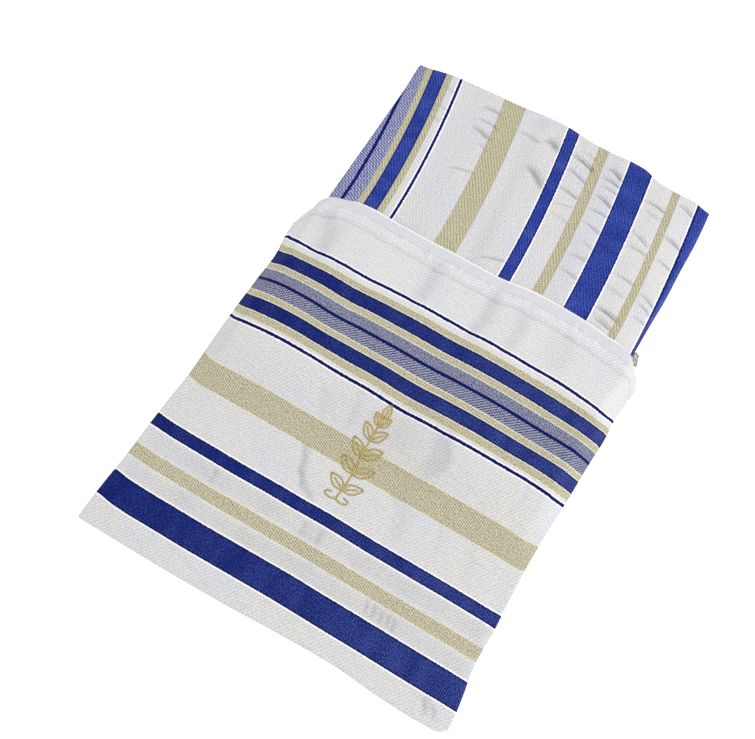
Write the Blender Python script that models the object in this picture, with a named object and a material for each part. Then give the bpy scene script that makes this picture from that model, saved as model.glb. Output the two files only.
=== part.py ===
"""A folded tallit, half drawn out of its open zip pouch, lying flat on a table.

Metres, +Z up, +Y from the pouch's bottom seam towards its mouth and the shawl.
The pouch is two striped panels sewn round three sides; the shawl is one long cloth
folded into a flat stack, shown here as its top fold and the layers under it.
"""

import bpy
import numpy as np

MM = 0.001

# Driving sizes, in millimetres.
PANEL_WALL = 1.2  # striped cloth and lining of one side of the pouch
SEAM_GAP = 0.3  # between two pieces at a seam
TAPE_WIDTH = 6.2  # zip tape that shows beyond a panel
TAPE_WALL = 0.9
ROUNDING = 0.1  # how far a thin piece's edge swells at half its height
STACK_TOP = 13.4  # top of the folded shawl above the table
TOP_FOLD = 3.2  # the top fold's height at its rim
SHAWL_HIDDEN_END = 152.0  # the end inside the pouch, from the bottom seam
SHAWL_STEP = 284.0  # past here the shawl lies on the table itself
RISE_START = 116.0  # the front panel starts to climb over the shawl here
RISE_END = 160.0
SIDE_SLOPE = 13.0  # width over which the front comes down to a side seam
ORIGIN = np.array((0.48, 204.54, 0.0)) * MM  # middle of everything's plan, at the table

# The pouch's sides: distance from the bottom seam, left edge, right edge.
POUCH_SIDES = {
    "y": (0, 15, 28, 50, 70, 90, 118, 140, 165, 196, 215, 232, 248, 262, 272),
    "left": (
        -124, -124, -123.6, -122.5, -122.3, -121.8, -120.8, -121.6,
        -121.9, -121.6, -121.2, -123.6, -124, -123, -121,
    ),
    "right": (
        125, 124.8, 123.3, 120.4, 120.6, 119.9, 119.3, 119.8,
        121, 122, 123, 122.6, 124.2, 124.6, 122,
    ),
}
# The pouch's bottom seam and its mouth, from left to right.
POUCH_BOTTOM = {
    "x": (-125, -60, -20, 20, 52, 85, 112, 121, 125),
    "y": (2.4, 2.9, 4.1, 6.2, 7.0, 5.2, 5.4, 6.4, 9.4),
}
POUCH_MOUTH = {
    "x": (-125, -121, -117, -112, -104, -98, -90, -60, -20, 13, 44, 76, 98, 108, 114, 118, 122, 125),
    "y": (
        251, 258, 262.5, 266, 268.6, 270.7, 272, 271.8, 273,
        273.4, 276.4, 275.6, 273.6, 272.4, 270, 267.2, 263, 258,
    ),
}
# The shawl's sides along its length, and its far fold from left to right.
SHAWL_SIDES = {
    "y": (150, 215, 260, 300, 320, 345, 370, 395, 405),
    "left": (-110.8, -111, -112.4, -112.9, -113.2, -113.6, -114, -115.6, -116),
    "right": (110.4, 111.8, 112.8, 113.3, 113.8, 113.2, 113.0, 111.6, 111),
}
SHAWL_FAR = {
    "x": (-116, -90, -60, -34, -20, 2, 18, 35, 52, 62, 72, 85, 100, 113),
    "y": (395.5, 400.2, 402.6, 404.2, 406, 406.6, 404.6, 404.6, 405.6, 405, 401.4, 400, 400.2, 398),
}
# Soft puckers of the shawl's top: ends of each trough, its width and its depth.
PUCKERS = {
    "x0": (8, 10, 14, 34, 36, 38, 42, 67, 71, 74, 76, 90, 92, 97, -32, -30, -14, -60),
    "y0": (385, 372, 357, 389, 368, 355, 302, 381, 354, 319, 289, 391, 364, 315, 388, 366, 363, 387),
    "x1": (29, 29, 30, 51, 53, 53, 58, 86, 90, 92, 92, 104, 107, 111, 0, 1, 6, -46),
    "y1": (381, 370, 356, 386, 363, 353, 299, 380, 347, 317, 283, 387, 358, 308, 383, 359, 355, 388),
    "width": (3, 3, 3, 5, 3.2, 3, 3, 3, 3.5, 3, 3.5, 3, 3, 3.5, 5, 5, 6, 4),
    "depth": (.7, .5, .6, .8, .8, .5, .4, .8, .6, .5, .7, .6, .7, .6, .7, .6, .6, .4),
}
# Long ripples of the pouch's front over the shawl: place across, width, height.
RIPPLES = {
    "x": (-96, -72, -44, -22, 6, 30, 57, 82, 101),
    "width": (7, 9, 8, 7, 9, 8, 9, 7, 6),
    "height": (.7, .9, .8, .6, .9, 1.0, .8, .6, .5),
}


def curve(table, across, value, at):
    """A smooth line through a table's points: cubic between them, level beyond the ends."""
    xs = np.array(table[across], float)
    ys = np.array(table[value], float)
    slope = np.gradient(ys, xs)
    slope[[0, -1]] = 0
    at = np.clip(at, xs[0], xs[-1])
    i = np.clip(np.searchsorted(xs, at) - 1, 0, len(xs) - 2)
    h = xs[i + 1] - xs[i]
    t = (at - xs[i]) / h
    start = ys[i] * (1 + 2 * t) * (1 - t) ** 2 + ys[i + 1] * (3 - 2 * t) * t**2
    return start + h * t * (1 - t) * (slope[i] * (1 - t) - slope[i + 1] * t)


def ease(t):
    """0 below 0, 1 above 1, and a soft step between."""
    t = np.clip(t, 0, 1)
    return t * t * (3 - 2 * t)


def trough_distance(x, y, x0, y0, x1, y1):
    """How far points are from a short line, and how far along it, from 0 to 1."""
    dx, dy = x1 - x0, y1 - y0
    along = np.clip(((x - x0) * dx + (y - y0) * dy) / (dx * dx + dy * dy), 0, 1)
    return np.hypot(x - x0 - along * dx, y - y0 - along * dy), along


def clear_scene():
    for old in list(bpy.data.objects):
        bpy.data.objects.remove(old)


def material(name, colour, rough, metal=0.0):
    made = bpy.data.materials.new(name)
    made.use_nodes = True
    shader = made.node_tree.nodes["Principled BSDF"]
    shader.inputs["Base Color"].default_value = (*colour, 1)
    shader.inputs["Roughness"].default_value = rough
    shader.inputs["Metallic"].default_value = metal
    return made


def add(name, points, faces, made_of, smooth=True):
    """One closed body from points in millimetres."""
    mesh = bpy.data.meshes.new(name)
    mesh.from_pydata([tuple(p) for p in points * MM - ORIGIN], [], faces)
    mesh.materials.append(made_of)
    mesh.polygons.foreach_set("use_smooth", [smooth] * len(mesh.polygons))
    mesh.update()
    obj = bpy.data.objects.new(name, mesh)
    bpy.context.collection.objects.link(obj)
    return obj


def rim_of(rows, columns):
    """Grid indices once round the edge of a grid, anticlockwise from its low corner."""
    grid = np.arange(rows * columns).reshape(rows, columns)
    return np.concatenate([grid[0, :-1], grid[:-1, -1], grid[-1, :0:-1], grid[:0:-1, 0]])


def slab(name, x, y, low, high, profile, made_of):
    """A cloth-like solid over a grid: an upper and a lower surface, and a rim between.

    profile lists the rim's rings from bottom to top, each as (share of the height,
    distance out from the grid's edge in millimetres, waviness of that distance).
    """
    rows, columns = x.shape
    rim = rim_of(rows, columns)
    rim_x, rim_y = x.ravel()[rim], y.ravel()[rim]
    step_x = np.roll(rim_x, -1) - np.roll(rim_x, 1)
    step_y = np.roll(rim_y, -1) - np.roll(rim_y, 1)
    tangent = np.stack([step_x, step_y])
    tangent /= np.linalg.norm(tangent, axis=0)
    out_x, out_y = tangent[1], -tangent[0]
    around = np.linspace(0, 2 * np.pi, len(rim), endpoint=False)
    upper = np.stack([x, y, high], -1).reshape(-1, 3)
    lower = np.stack([x, y, low], -1).reshape(-1, 3)
    points = [upper, lower]
    z0, z1 = low.ravel()[rim], high.ravel()[rim]
    for k, (share, out, wave) in enumerate(profile):
        far = out + wave * np.sin(around * (3 + k) + 1.7 * k)
        points.append(np.stack([rim_x + out_x * far, rim_y + out_y * far, z0 + (z1 - z0) * share], -1))
    n = rows * columns
    faces = []
    for r in range(rows - 1):
        for c in range(columns - 1):
            a = r * columns + c
            faces.append((a, a + 1, a + columns + 1, a + columns))
            faces.append((n + a, n + a + columns, n + a + columns + 1, n + a + 1))
    between = [2 * n + k * len(rim) + np.arange(len(rim)) for k in range(len(profile))]
    rings = [n + rim] + between + [rim]
    for below, above in zip(rings[:-1], rings[1:]):
        for i in range(len(rim)):
            j = (i + 1) % len(rim)
            faces.append((int(below[i]), int(below[j]), int(above[j]), int(above[i])))
    return add(name, np.concatenate(points), faces, made_of)


def pouch_plan(u, v, mouth_back=0.0, trim=0.0):
    """Plan of a pouch panel: u across from 0 to 1, v from the bottom seam to the mouth.

    mouth_back draws the mouth edge back, and trim draws every side in.
    """
    nominal = -124.5 + 249 * u
    bottom = curve(POUCH_BOTTOM, "x", "y", nominal) + trim
    mouth = curve(POUCH_MOUTH, "x", "y", nominal) - mouth_back
    y = bottom + (mouth - bottom) * v
    left = curve(POUCH_SIDES, "y", "left", y) + trim
    right = curve(POUCH_SIDES, "y", "right", y) - trim
    return left + (right - left) * u, y


def front_height(x, y):
    """Height of the front panel's under side: low at the seams, over the shawl's stack beyond."""
    left = curve(POUCH_SIDES, "y", "left", y)
    right = curve(POUCH_SIDES, "y", "right", y)
    bottom = curve(POUCH_BOTTOM, "x", "y", x)
    side = np.minimum(x - left, right - x)
    over = ease((y - RISE_START) / (RISE_END - RISE_START))
    across = np.sin(np.pi / 2 * np.clip(side / SIDE_SLOPE, 0, 1)) ** 1.3
    puff = 1.3 * ease(np.minimum(side, y - bottom) / 22) * (1 - over)
    ripple = np.zeros_like(x)
    for place, width, height in zip(*RIPPLES.values()):
        ripple += height * np.exp(-(((x - place - 0.02 * (y - 200)) / width) ** 2))
    ripple *= over * ease((side - 10) / 12) * (1 - 0.5 * ease((y - 235) / 30))
    lift = STACK_TOP + 2 * SEAM_GAP - PANEL_WALL - SEAM_GAP
    return PANEL_WALL + SEAM_GAP + puff + lift * across * over + ripple


def grid(rows, columns, u_power=1.0):
    """u and v over a grid, with columns drawn towards both edges when u_power is under 1."""
    u = np.linspace(-1, 1, columns)
    u = 0.5 + 0.5 * np.sign(u) * np.abs(u) ** u_power
    return np.meshgrid(u, np.linspace(0, 1, rows))


def build_pouch(cloth):
    u, v = grid(16, 18)
    x, y = pouch_plan(u, v, TAPE_WIDTH + 2 * SEAM_GAP)
    flat = np.zeros_like(x)
    slab("pouch_back", x, y, flat, flat + PANEL_WALL, [(0.5, ROUNDING, 0)], cloth)
    u, v = grid(30, 34, 0.75)
    x, y = pouch_plan(u, v, TAPE_WIDTH + 2 * SEAM_GAP)
    under = front_height(x, y)
    slab("pouch_front", x, y, under, under + PANEL_WALL, [(0.5, ROUNDING, 0)], cloth)


def tape_plan(u, v):
    """Plan of the zip tape: u along the mouth, v from the panel's edge outwards."""
    x0, y0 = pouch_plan(u, np.ones_like(u), TAPE_WIDTH)
    x1, y1 = pouch_plan(u, np.ones_like(u), 0.0)
    return x0 + (x1 - x0) * v, y0 + (y1 - y0) * v


def build_tapes(tape):
    u, v = np.meshgrid(np.linspace(0.028, 0.972, 44), np.linspace(0, 1, 4))
    x, y = tape_plan(u, v)
    flat = np.full_like(x, 0.15)
    slab("zip_tape_back", x, y, flat, flat + TAPE_WALL, [(0.5, ROUNDING, 0)], tape)
    under = front_height(x, y) + 0.1
    slab("zip_tape_front", x, y, under, under + TAPE_WALL, [(0.5, ROUNDING, 0)], tape)


def shawl_plan(u, v, inset=0.0):
    """Plan of the folded shawl: u across, v from the hidden end to the far fold."""
    nominal = -114 + 227 * u
    far = curve(SHAWL_FAR, "x", "y", nominal) - inset
    near = SHAWL_HIDDEN_END + inset
    y = near + (far - near) * v
    left = curve(SHAWL_SIDES, "y", "left", y) + inset
    right = curve(SHAWL_SIDES, "y", "right", y) - inset
    return left + (right - left) * u, y


def shawl_top_height(u, v, x, y):
    """Height of the shawl's top: level, rolled over at its edges, with soft puckers."""
    edge = np.minimum(np.minimum(u, 1 - u) * 226, np.minimum(v, 1 - v) * 250)
    roll = 1 - np.sqrt(np.clip(1 - (1 - np.clip(edge / 5, 0, 1)) ** 2, 0, 1))
    z = STACK_TOP - 0.9 * roll - 0.5 * ease((y - 285) / 100)
    inside = ease((y - 262) / 12)
    for x0, y0, x1, y1, width, depth in zip(*PUCKERS.values()):
        away, along = trough_distance(x, y, x0, y0, x1, y1)
        z -= depth * np.exp(-((away / width) ** 2)) * inside
        z += 0.35 * depth * np.exp(-(((away - 1.7 * width) / width) ** 2)) * inside
    return np.minimum(z, STACK_TOP)


def build_shawl(cloth):
    split = STACK_TOP - TOP_FOLD
    rows = np.concatenate([np.linspace(0, 0.42, 7), np.linspace(0.48, 0.97, 23), [0.985, 1.0]])
    u = np.linspace(0, 1, 38)
    u, v = np.meshgrid(u, rows)
    x, y = shawl_plan(u, v, 1.4)
    high = shawl_top_height(u, v, x, y)
    low = np.full_like(x, split)
    slab("shawl_top_fold", x, y, low, high, [(0.14, 0.9, 0), (0.42, 1.4, 0), (0.75, 0.95, 0)], cloth)
    u, v = grid(20, 20)
    x, y = shawl_plan(u, v, 3.4)
    low = (PANEL_WALL + SEAM_GAP) * (1 - ease((y - SHAWL_STEP) / 5))
    high = np.full_like(x, split - SEAM_GAP)
    layers = 4
    profile = []
    for k in range(layers):
        profile.append(((k + 0.22) / layers, 1.7, 0.5))
        profile.append(((k + 0.72) / layers, 1.8, 0.5))
        if k < layers - 1:
            profile.append(((k + 1.0) / layers, 0.2, 0.2))
    slab("shawl_layers", x, y, low, high, profile, cloth)


def on_frame(local, centre, along, across, up):
    return centre + local[:, :1] * along + local[:, 1:2] * across + local[:, 2:] * up


# The slider stands on its edge beside the shawl, at the right end of the mouth.
SLIDER_CENTRE = np.array((114.95, 272.9, 7.4))
SLIDER_ALONG = np.array((-0.3401, 0.9404, 0.0))  # from its narrow end to its wide one
SLIDER_OUT = np.array((0.9404, 0.3401, 0.0))  # away from the shawl; this face carries the pull
SLIDER_ACROSS = np.cross(SLIDER_OUT, SLIDER_ALONG)
SLIDER_LENGTH = 8.6
SLIDER_WIDTH = 6.2
SLIDER_BODY = 1.9
BRIDGE_REACH = 1.55  # half the bridge's length
BRIDGE_RISE = 1.5  # clear height under the bridge
BRIDGE_WALL = 0.5
BRIDGE_HALF_WIDTH = 0.6
PIN_ALONG = 2.7  # the pull's pivot, from the slider's centre towards its wide end
PIN_OUT = SLIDER_BODY / 2 + 0.75
PULL_LENGTH = 8.2
PULL_WIDTH = 4.4
PULL_WALL = 0.8
PULL_BAR = 0.45  # half the thickness of the bar that passes under the bridge
EYE_LENGTH = 2.6
EYE_WIDTH = 2.3


def prism(outline, low, high):
    """Points and faces of a flat outline, anticlockwise, drawn from low to high."""
    n = len(outline)
    ends = [np.column_stack([outline, np.full(n, z)]) for z in (low, high)]
    faces = [tuple(range(n))[::-1], tuple(range(n, 2 * n))]
    faces += [(i, (i + 1) % n, n + (i + 1) % n, n + i) for i in range(n)]
    return np.concatenate(ends), faces


def rectangle(x0, x1, half):
    return np.array([(x0, -half), (x1, -half), (x1, half), (x0, half)])


def combined(name, operations, made_of):
    """The first prism with each later one joined to it, or cut from it."""
    whole = None
    for k, (operation, outline, low, high) in enumerate(operations):
        local, faces = prism(outline, low, high)
        points = SLIDER_CENTRE + local[:, :1] * SLIDER_ALONG
        points = points + local[:, 1:2] * SLIDER_ACROSS + local[:, 2:] * SLIDER_OUT
        piece = add(name if whole is None else f"{name}_{k}", points, faces, made_of, False)
        if whole is None:
            whole = piece
            continue
        piece.hide_render = True
        piece.display_type = "WIRE"
        change = whole.modifiers.new(f"{operation.lower()}_{k}", "BOOLEAN")
        change.operation = operation
        change.solver = "EXACT"
        change.object = piece
    return whole


def build_slider(metal):
    """A body with waisted sides, and a low bridge over its face for the pull's bar."""
    t = np.linspace(0, 1, 11)
    side = np.interp(t, (0, 0.1, 0.5, 0.8, 1), (0.62, 0.80, 0.82, 1.0, 0.84)) * SLIDER_WIDTH / 2
    along = (t - 0.5) * SLIDER_LENGTH
    outline = np.concatenate([np.column_stack([along, -side]), np.column_stack([along, side])[::-1]])
    face = SLIDER_BODY / 2
    reach, roof = BRIDGE_REACH, face + BRIDGE_RISE
    near, far = PIN_ALONG - reach, PIN_ALONG + reach
    half = BRIDGE_HALF_WIDTH
    combined(
        "zip_slider",
        [
            ("UNION", outline, -face, face),
            ("UNION", rectangle(near, near + BRIDGE_WALL, half), face - 0.5, roof + 0.2),
            ("UNION", rectangle(far - BRIDGE_WALL, far, half), face - 0.5, roof + 0.2),
            ("UNION", rectangle(near - 0.1, far + 0.1, half + 0.1), roof, roof + BRIDGE_WALL),
        ],
        metal,
    )


def build_pull(metal):
    """A short leaf with a rounded tip; its eye leaves a bar that turns under the bridge."""
    half = PULL_WIDTH / 2
    t = np.linspace(np.pi / 2, 3 * np.pi / 2, 13)
    end = PIN_ALONG + PULL_BAR
    tip = np.column_stack([end - PULL_LENGTH + 1.9 + 1.9 * np.cos(t), half * np.sin(t)])
    outline = np.concatenate([[(end, -half), (end, half)], tip])
    eye_end = PIN_ALONG - PULL_BAR
    low, high = PIN_OUT - PULL_WALL / 2, PIN_OUT + PULL_WALL / 2
    combined(
        "zip_pull",
        [
            ("UNION", outline, low, high),
            ("DIFFERENCE", rectangle(eye_end - EYE_LENGTH, eye_end, EYE_WIDTH / 2), low - 1, high + 1),
        ],
        metal,
    )


clear_scene()
striped_cloth = material("striped_pouch_cloth", (0.78, 0.78, 0.80), 0.85)
shawl_cloth = material("striped_shawl_cloth", (0.80, 0.80, 0.82), 0.85)
zip_tape = material("zip_tape_polyester", (0.76, 0.76, 0.84), 0.8)
nickel = material("zip_nickel", (0.72, 0.68, 0.60), 0.35, 1.0)
build_pouch(striped_cloth)
build_tapes(zip_tape)
build_shawl(shawl_cloth)
build_slider(nickel)
build_pull(nickel)
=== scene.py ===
"""A striped tallit, folded into a flat stack and half drawn out of its open zip pouch.

+Z is up and +Y runs from the pouch's bottom seam towards its mouth and the shawl. Shapes and
tables are in millimetres from the middle of the bottom seam, which cloth_mesh turns into the
frame's metres. Colours are sRGB hex.
"""

import bpy
import numpy as np
from mathutils import Matrix, Vector


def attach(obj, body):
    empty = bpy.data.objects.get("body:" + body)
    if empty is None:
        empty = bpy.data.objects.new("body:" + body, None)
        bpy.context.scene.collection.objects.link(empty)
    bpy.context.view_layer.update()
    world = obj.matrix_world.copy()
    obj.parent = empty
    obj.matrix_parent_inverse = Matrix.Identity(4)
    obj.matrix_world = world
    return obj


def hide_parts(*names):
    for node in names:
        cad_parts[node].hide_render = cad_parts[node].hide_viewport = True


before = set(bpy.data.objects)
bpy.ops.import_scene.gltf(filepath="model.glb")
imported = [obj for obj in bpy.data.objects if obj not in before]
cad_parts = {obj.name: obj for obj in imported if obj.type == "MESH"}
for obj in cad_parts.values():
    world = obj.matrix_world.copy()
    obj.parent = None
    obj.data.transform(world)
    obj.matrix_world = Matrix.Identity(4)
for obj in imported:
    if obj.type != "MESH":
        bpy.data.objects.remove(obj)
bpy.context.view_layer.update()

# ---------------------------------------------------------------------------
# Pouch, back panel. One cut of striped polyester, woven like the shawl, lying
# flat on the table; its sides and its bottom edge are turned in and sewn to
# the front panel, and its top edge carries the lower zip tape.
# ---------------------------------------------------------------------------

MM = 0.001
# The frame's origin, in metres from the middle of the bottom seam.
ORIGIN = np.array((0.48, 204.54, 0.0)) * MM
PANEL_WIDTH = 249
PANEL_WALL = 1.2
# A panel's woven face, between the rounds of its edges.
FACE_WIDTH, FACE_LENGTH = 245, 260
SEAM_GAP = 0.3
TAPE_WIDTH = 6.2
# Outline of the pouch on the table: its two sides, its bottom seam and its mouth.
POUCH_SIDES = {
    "y": (0, 15, 28, 50, 70, 90, 118, 140, 165, 196, 215, 232, 248, 262, 272),
    "left": (
        -124, -124, -123.6, -122.5, -122.3, -121.8, -120.8, -121.6, -121.9, -121.6, -121.2, -123.6,
        -124, -123, -121,
    ),
    "right": (
        125, 124.8, 123.3, 120.4, 120.6, 119.9, 119.3, 119.8, 121, 122, 123, 122.6, 124.2, 124.6,
        122,
    ),
}
POUCH_BOTTOM = {
    "x": (-125, -60, -20, 20, 52, 85, 112, 121, 125),
    "y": (2.4, 2.9, 4.1, 6.2, 7.0, 5.2, 5.4, 6.4, 9.4),
}
POUCH_MOUTH = {
    "x": (-125, -121, -117, -112, -104, -98, -90, -60, -20, 13, 44, 76, 98, 108, 114, 118, 122, 125),
    "y": (
        251, 258, 262.5, 266, 268.6, 270.7, 272, 271.8, 273, 273.4, 276.4, 275.6, 273.6, 272.4, 270,
        267.2, 263, 258,
    ),
}
# Stripes across the pouch, in cloth millimetres from the bottom seam.
POUCH_STRIPES = {
    "start": (20, 50, 73.5, 112, 159.4, 164, 170.3, 180, 185, 193.45, 195.65, 203, 208.5, 218.5, 228.4),
    "end": (38, 60, 82, 131, 161.6, 170.3, 180, 185, 193.45, 195.65, 203, 208.5, 218.5, 224, 230.6),
    "yarn": (
        "blue", "gold", "blue", "gold", "navy", "gold", "blue", "gold", "lavender", "navy",
        "heather", "gold", "blue", "gold", "navy",
    ),
}
# Where five woven lines really run across the pouch: the cloth has been pulled askew. Each is
# named for the cloth millimetre that it marks.
LINE_DRIFT = {
    "x": (-122, -117, -112, -106, -100, -90, -78, -60, -40, -20, 0, 30, 60, 80, 100, 108, 112, 117, 122),
    "20": (
        20.1, 19.4, 18.6, 18.3, 18.1, 18.2, 18.3, 18.4, 18.9, 19.4, 19.9, 20, 20.1, 20, 20, 20.1,
        20.2, 20.3, 20.3,
    ),
    "73.5": (
        73.5, 73.2, 72.9, 72.5, 72.4, 72.3, 72.4, 72.4, 72.9, 73.1, 73.6, 73.3, 73.4, 73.6, 73.6,
        73.7, 73.8, 73.7, 73.7,
    ),
    "160.5": (
        162, 159.4, 157.7, 157.8, 158.1, 158.6, 159.1, 159.3, 159, 159.1, 158.5, 158.9, 159.6,
        159.6, 159.5, 158.9, 159.1, 160.9, 162.5,
    ),
    "194.5": (
        194.9, 193.1, 191.4, 191.7, 192.1, 192, 191.9, 191.3, 192.6, 192.8, 192.8, 193.2, 193.5,
        192.8, 192.4, 192.2, 192.2, 193.8, 195.3,
    ),
    "229.5": (
        229.9, 227.2, 225.3, 224.9, 224.8, 225.1, 225.4, 225.4, 226.8, 227.5, 227.8, 228, 227.6,
        227.6, 226.1, 225.2, 224.7, 226.2, 228.6,
    ),
}


def curve(table, across, value, at):
    """A smooth line through a table's points: cubic between them, level beyond the ends."""
    xs = np.array(table[across], float)
    ys = np.array(table[value], float)
    slope = np.gradient(ys, xs)
    slope[[0, -1]] = 0
    at = np.clip(at, xs[0], xs[-1])
    i = np.clip(np.searchsorted(xs, at) - 1, 0, len(xs) - 2)
    h = xs[i + 1] - xs[i]
    t = (at - xs[i]) / h
    start = ys[i] * (1 + 2 * t) * (1 - t) ** 2 + ys[i + 1] * (3 - 2 * t) * t**2
    return start + h * t * (1 - t) * (slope[i] * (1 - t) - slope[i + 1] * t)


def ease(t):
    """0 below 0, 1 above 1, and 3t^2 - 2t^3 between."""
    t = np.clip(t, 0, 1)
    return t * t * (3 - 2 * t)


def bell(at, middle, width):
    """1 at the middle and less to both sides: e to the power of minus ((at - middle) / width) squared."""
    return np.exp(-(((at - middle) / width) ** 2))


def rolled(distance, radius):
    """How far a quarter-round edge has dropped: 1 at the edge, 0 from one radius in."""
    return 1 - np.sqrt(np.clip(1 - (1 - np.clip(distance / radius, 0, 1)) ** 2, 0, 1))


def soft_noise(x, y, size_x, size_y, seed):
    """Even waves with no pattern, -1 to 1: random values on a grid of size_x by size_y, eased between."""
    lattice = np.random.default_rng(seed).uniform(-1, 1, (64, 64))
    u, v = x / size_x, y / size_y
    i, j = np.floor(u).astype(int), np.floor(v).astype(int)
    fu, fv = ease(u - i), ease(v - j)
    low = lattice[i % 64, j % 64] * (1 - fu) + lattice[(i + 1) % 64, j % 64] * fu
    high = lattice[i % 64, (j + 1) % 64] * (1 - fu) + lattice[(i + 1) % 64, (j + 1) % 64] * fu
    return low * (1 - fv) + high * fv


def round_edge(g):
    """What a grid holds round its edge: its first row, last column, last row and first column, in one turn."""
    return np.concatenate([g[0, :-1], g[:-1, -1], g[-1, :0:-1], g[:0:-1, 0]])


def cloth_mesh(name, points, faces, cloth_uv, made_of, painted_shading=None):
    """A smooth mesh from points and cloth coordinates, both in millimetres.

    The last argument is how much shade is painted into the colour, in creases and hollows
    finer than the mesh and in broad shaded patches, up to 1; below 0 it is a painted
    highlight on a fold, down to -1.
    """
    mesh = bpy.data.meshes.new(name)
    mesh.from_pydata((points * MM - ORIGIN).tolist(), [], faces)
    corners = np.empty(len(mesh.loops), int)
    mesh.loops.foreach_get("vertex_index", corners)
    layer = mesh.uv_layers.new(name="cloth")
    layer.data.foreach_set("uv", (cloth_uv[corners] * MM).astype(np.float32).ravel())
    if painted_shading is not None:
        mesh.attributes.new("painted_shading", "FLOAT", "POINT").data.foreach_set("value", painted_shading.astype(np.float32))
    mesh.polygons.foreach_set("use_smooth", np.ones(len(mesh.polygons), bool))
    mesh.materials.append(made_of)
    mesh.update()
    piece = bpy.data.objects.new(name, mesh)
    bpy.context.scene.collection.objects.link(piece)
    return piece


def cloth_slab(name, x, y, low, high, rings, cloth_of, made_of, level=False, thin=1, painted_shading=None):
    """A thin cloth over a grid: upper face high(x, y), lower face low(x, y), and a rim.

    rings lists the rim from bottom to top, each as (share of the height, distance out from
    the grid's edge, length of cloth from the upper edge down to it), any of them an array
    with a value for each point of the rim. cloth_of turns plan x, y into cloth coordinates.
    A lower face that is level is one many-sided face; any other is drawn with each
    thin-th row and column.
    """
    rows, columns = x.shape
    n = rows * columns
    index = np.arange(n).reshape(rows, columns)
    rim = round_edge(index)
    rim_x, rim_y = x.ravel()[rim], y.ravel()[rim]
    along = np.stack([np.roll(rim_x, -1) - np.roll(rim_x, 1), np.roll(rim_y, -1) - np.roll(rim_y, 1)])
    along /= np.linalg.norm(along, axis=0)
    for _ in range(2):
        along = along + 0.5 * (np.roll(along, 1, 1) + np.roll(along, -1, 1))
        along /= np.linalg.norm(along, axis=0)
    out_x, out_y = along[1], -along[0]
    z0, z1 = low.ravel()[rim], high.ravel()[rim]
    flat = np.stack([x, y], -1).reshape(-1, 2)
    few = index[::thin, ::thin]
    under = rim if level else few.ravel()
    points = [np.column_stack([flat, high.ravel()]), np.column_stack([flat[under], low.ravel()[under]])]
    cloth = [cloth_of(flat[:, 0], flat[:, 1])]
    cloth.append(cloth[0][under])
    for share, out, down in rings:
        points.append(np.column_stack([rim_x + out_x * out, rim_y + out_y * out, z0 + (z1 - z0) * share]))
        cloth.append(cloth_of(rim_x + out_x * down, rim_y + out_y * down))
    a, b = index[:-1, :-1].ravel(), index[:-1, 1:].ravel()
    c, d = index[1:, 1:].ravel(), index[1:, :-1].ravel()
    faces = [np.column_stack([a, b, c, d])]
    around = np.arange(len(rim))
    steps = [n + len(under) + k * len(rim) + around for k in range(len(rings))] + [rim]
    for below, above in zip(steps[:-1], steps[1:]):
        faces.append(np.column_stack([below, np.roll(below, -1), np.roll(above, -1), above]))
    faces = np.concatenate(faces).tolist()
    if level:
        foot = n + around
        faces.append(foot[::-1].tolist())
    else:
        own = n + np.arange(few.size).reshape(few.shape)
        quads = [own[:-1, :-1], own[1:, :-1], own[1:, 1:], own[:-1, 1:]]
        faces += np.stack(quads, -1).reshape(-1, 4).tolist()
        foot = round_edge(own)
    # Each side of the lower face meets as many sides of the rim as it spans.
    spans = len(rim) // len(foot)
    first = [np.roll(steps[0], -k)[::spans] for k in range(spans, -1, -1)]
    faces += np.column_stack([foot, np.roll(foot, -1), *first]).tolist()
    if painted_shading is not None:
        painted_shading = painted_shading.ravel()
        painted_shading = np.concatenate([painted_shading, 0 * painted_shading[under], *[painted_shading[rim]] * len(rings)])
    return cloth_mesh(name, np.concatenate(points), faces, np.concatenate(cloth), made_of, painted_shading)


def linear(hex_colour):
    """An sRGB hex colour as linear red, green, blue and alpha."""
    srgb = np.array([int(hex_colour[i : i + 2], 16) / 255 for i in (1, 3, 5)])
    flat = np.where(srgb <= 0.04045, srgb / 12.92, ((srgb + 0.055) / 1.055) ** 2.4)
    return (*flat.tolist(), 1.0)


def node(tree, kind, inputs=None, out=0, **settings):
    """Adds one node with its settings and returns one of its outputs.

    Each input is a value, or the socket that feeds it.
    """
    made = tree.nodes.new(kind)
    for key, value in settings.items():
        setattr(made, key, value)
    for key, value in (inputs or {}).items():
        if isinstance(value, bpy.types.NodeSocket):
            tree.links.new(value, made.inputs[key])
        else:
            made.inputs[key].default_value = value
    return made.outputs[out]


def finish_of(name, rough, metal=0.0, **sockets):
    """A new material, and its tree and its shader, with what is the same all over set on the shader."""
    made = bpy.data.materials.new(name)
    made.use_nodes = True
    shader = made.node_tree.nodes["Principled BSDF"]
    shader.inputs["Roughness"].default_value = rough
    shader.inputs["Metallic"].default_value = metal
    for key, value in sockets.items():
        shader.inputs[key.replace("_", " ")].default_value = value
    return made, made.node_tree, shader


def cloth_mm(tree):
    """Cloth coordinates in millimetres, from the map that cloth_mesh makes: along, across, 0."""
    uv = node(tree, "ShaderNodeUVMap", uv_map="cloth")
    return node(tree, "ShaderNodeVectorMath", {0: uv, "Scale": 1000.0}, operation="SCALE")


def woven_in(stripes, yarn):
    """The stripes of one yarn, each as (start, end)."""
    return [(start, end) for start, end, woven in zip(*stripes.values()) if woven == yarn]


def share_of(tree, across, spans):
    """1 inside these spans across the cloth and 0 outside: the largest of one test for each span."""
    share = None
    for start, end in spans:
        inside = node(
            tree, "ShaderNodeMath", {0: across, 1: (start + end) / 2, 2: (end - start) / 2}, operation="COMPARE"
        )
        if share is not None:
            inside = node(tree, "ShaderNodeMath", {0: share, 1: inside}, operation="MAXIMUM")
        share = inside
    return share


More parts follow.
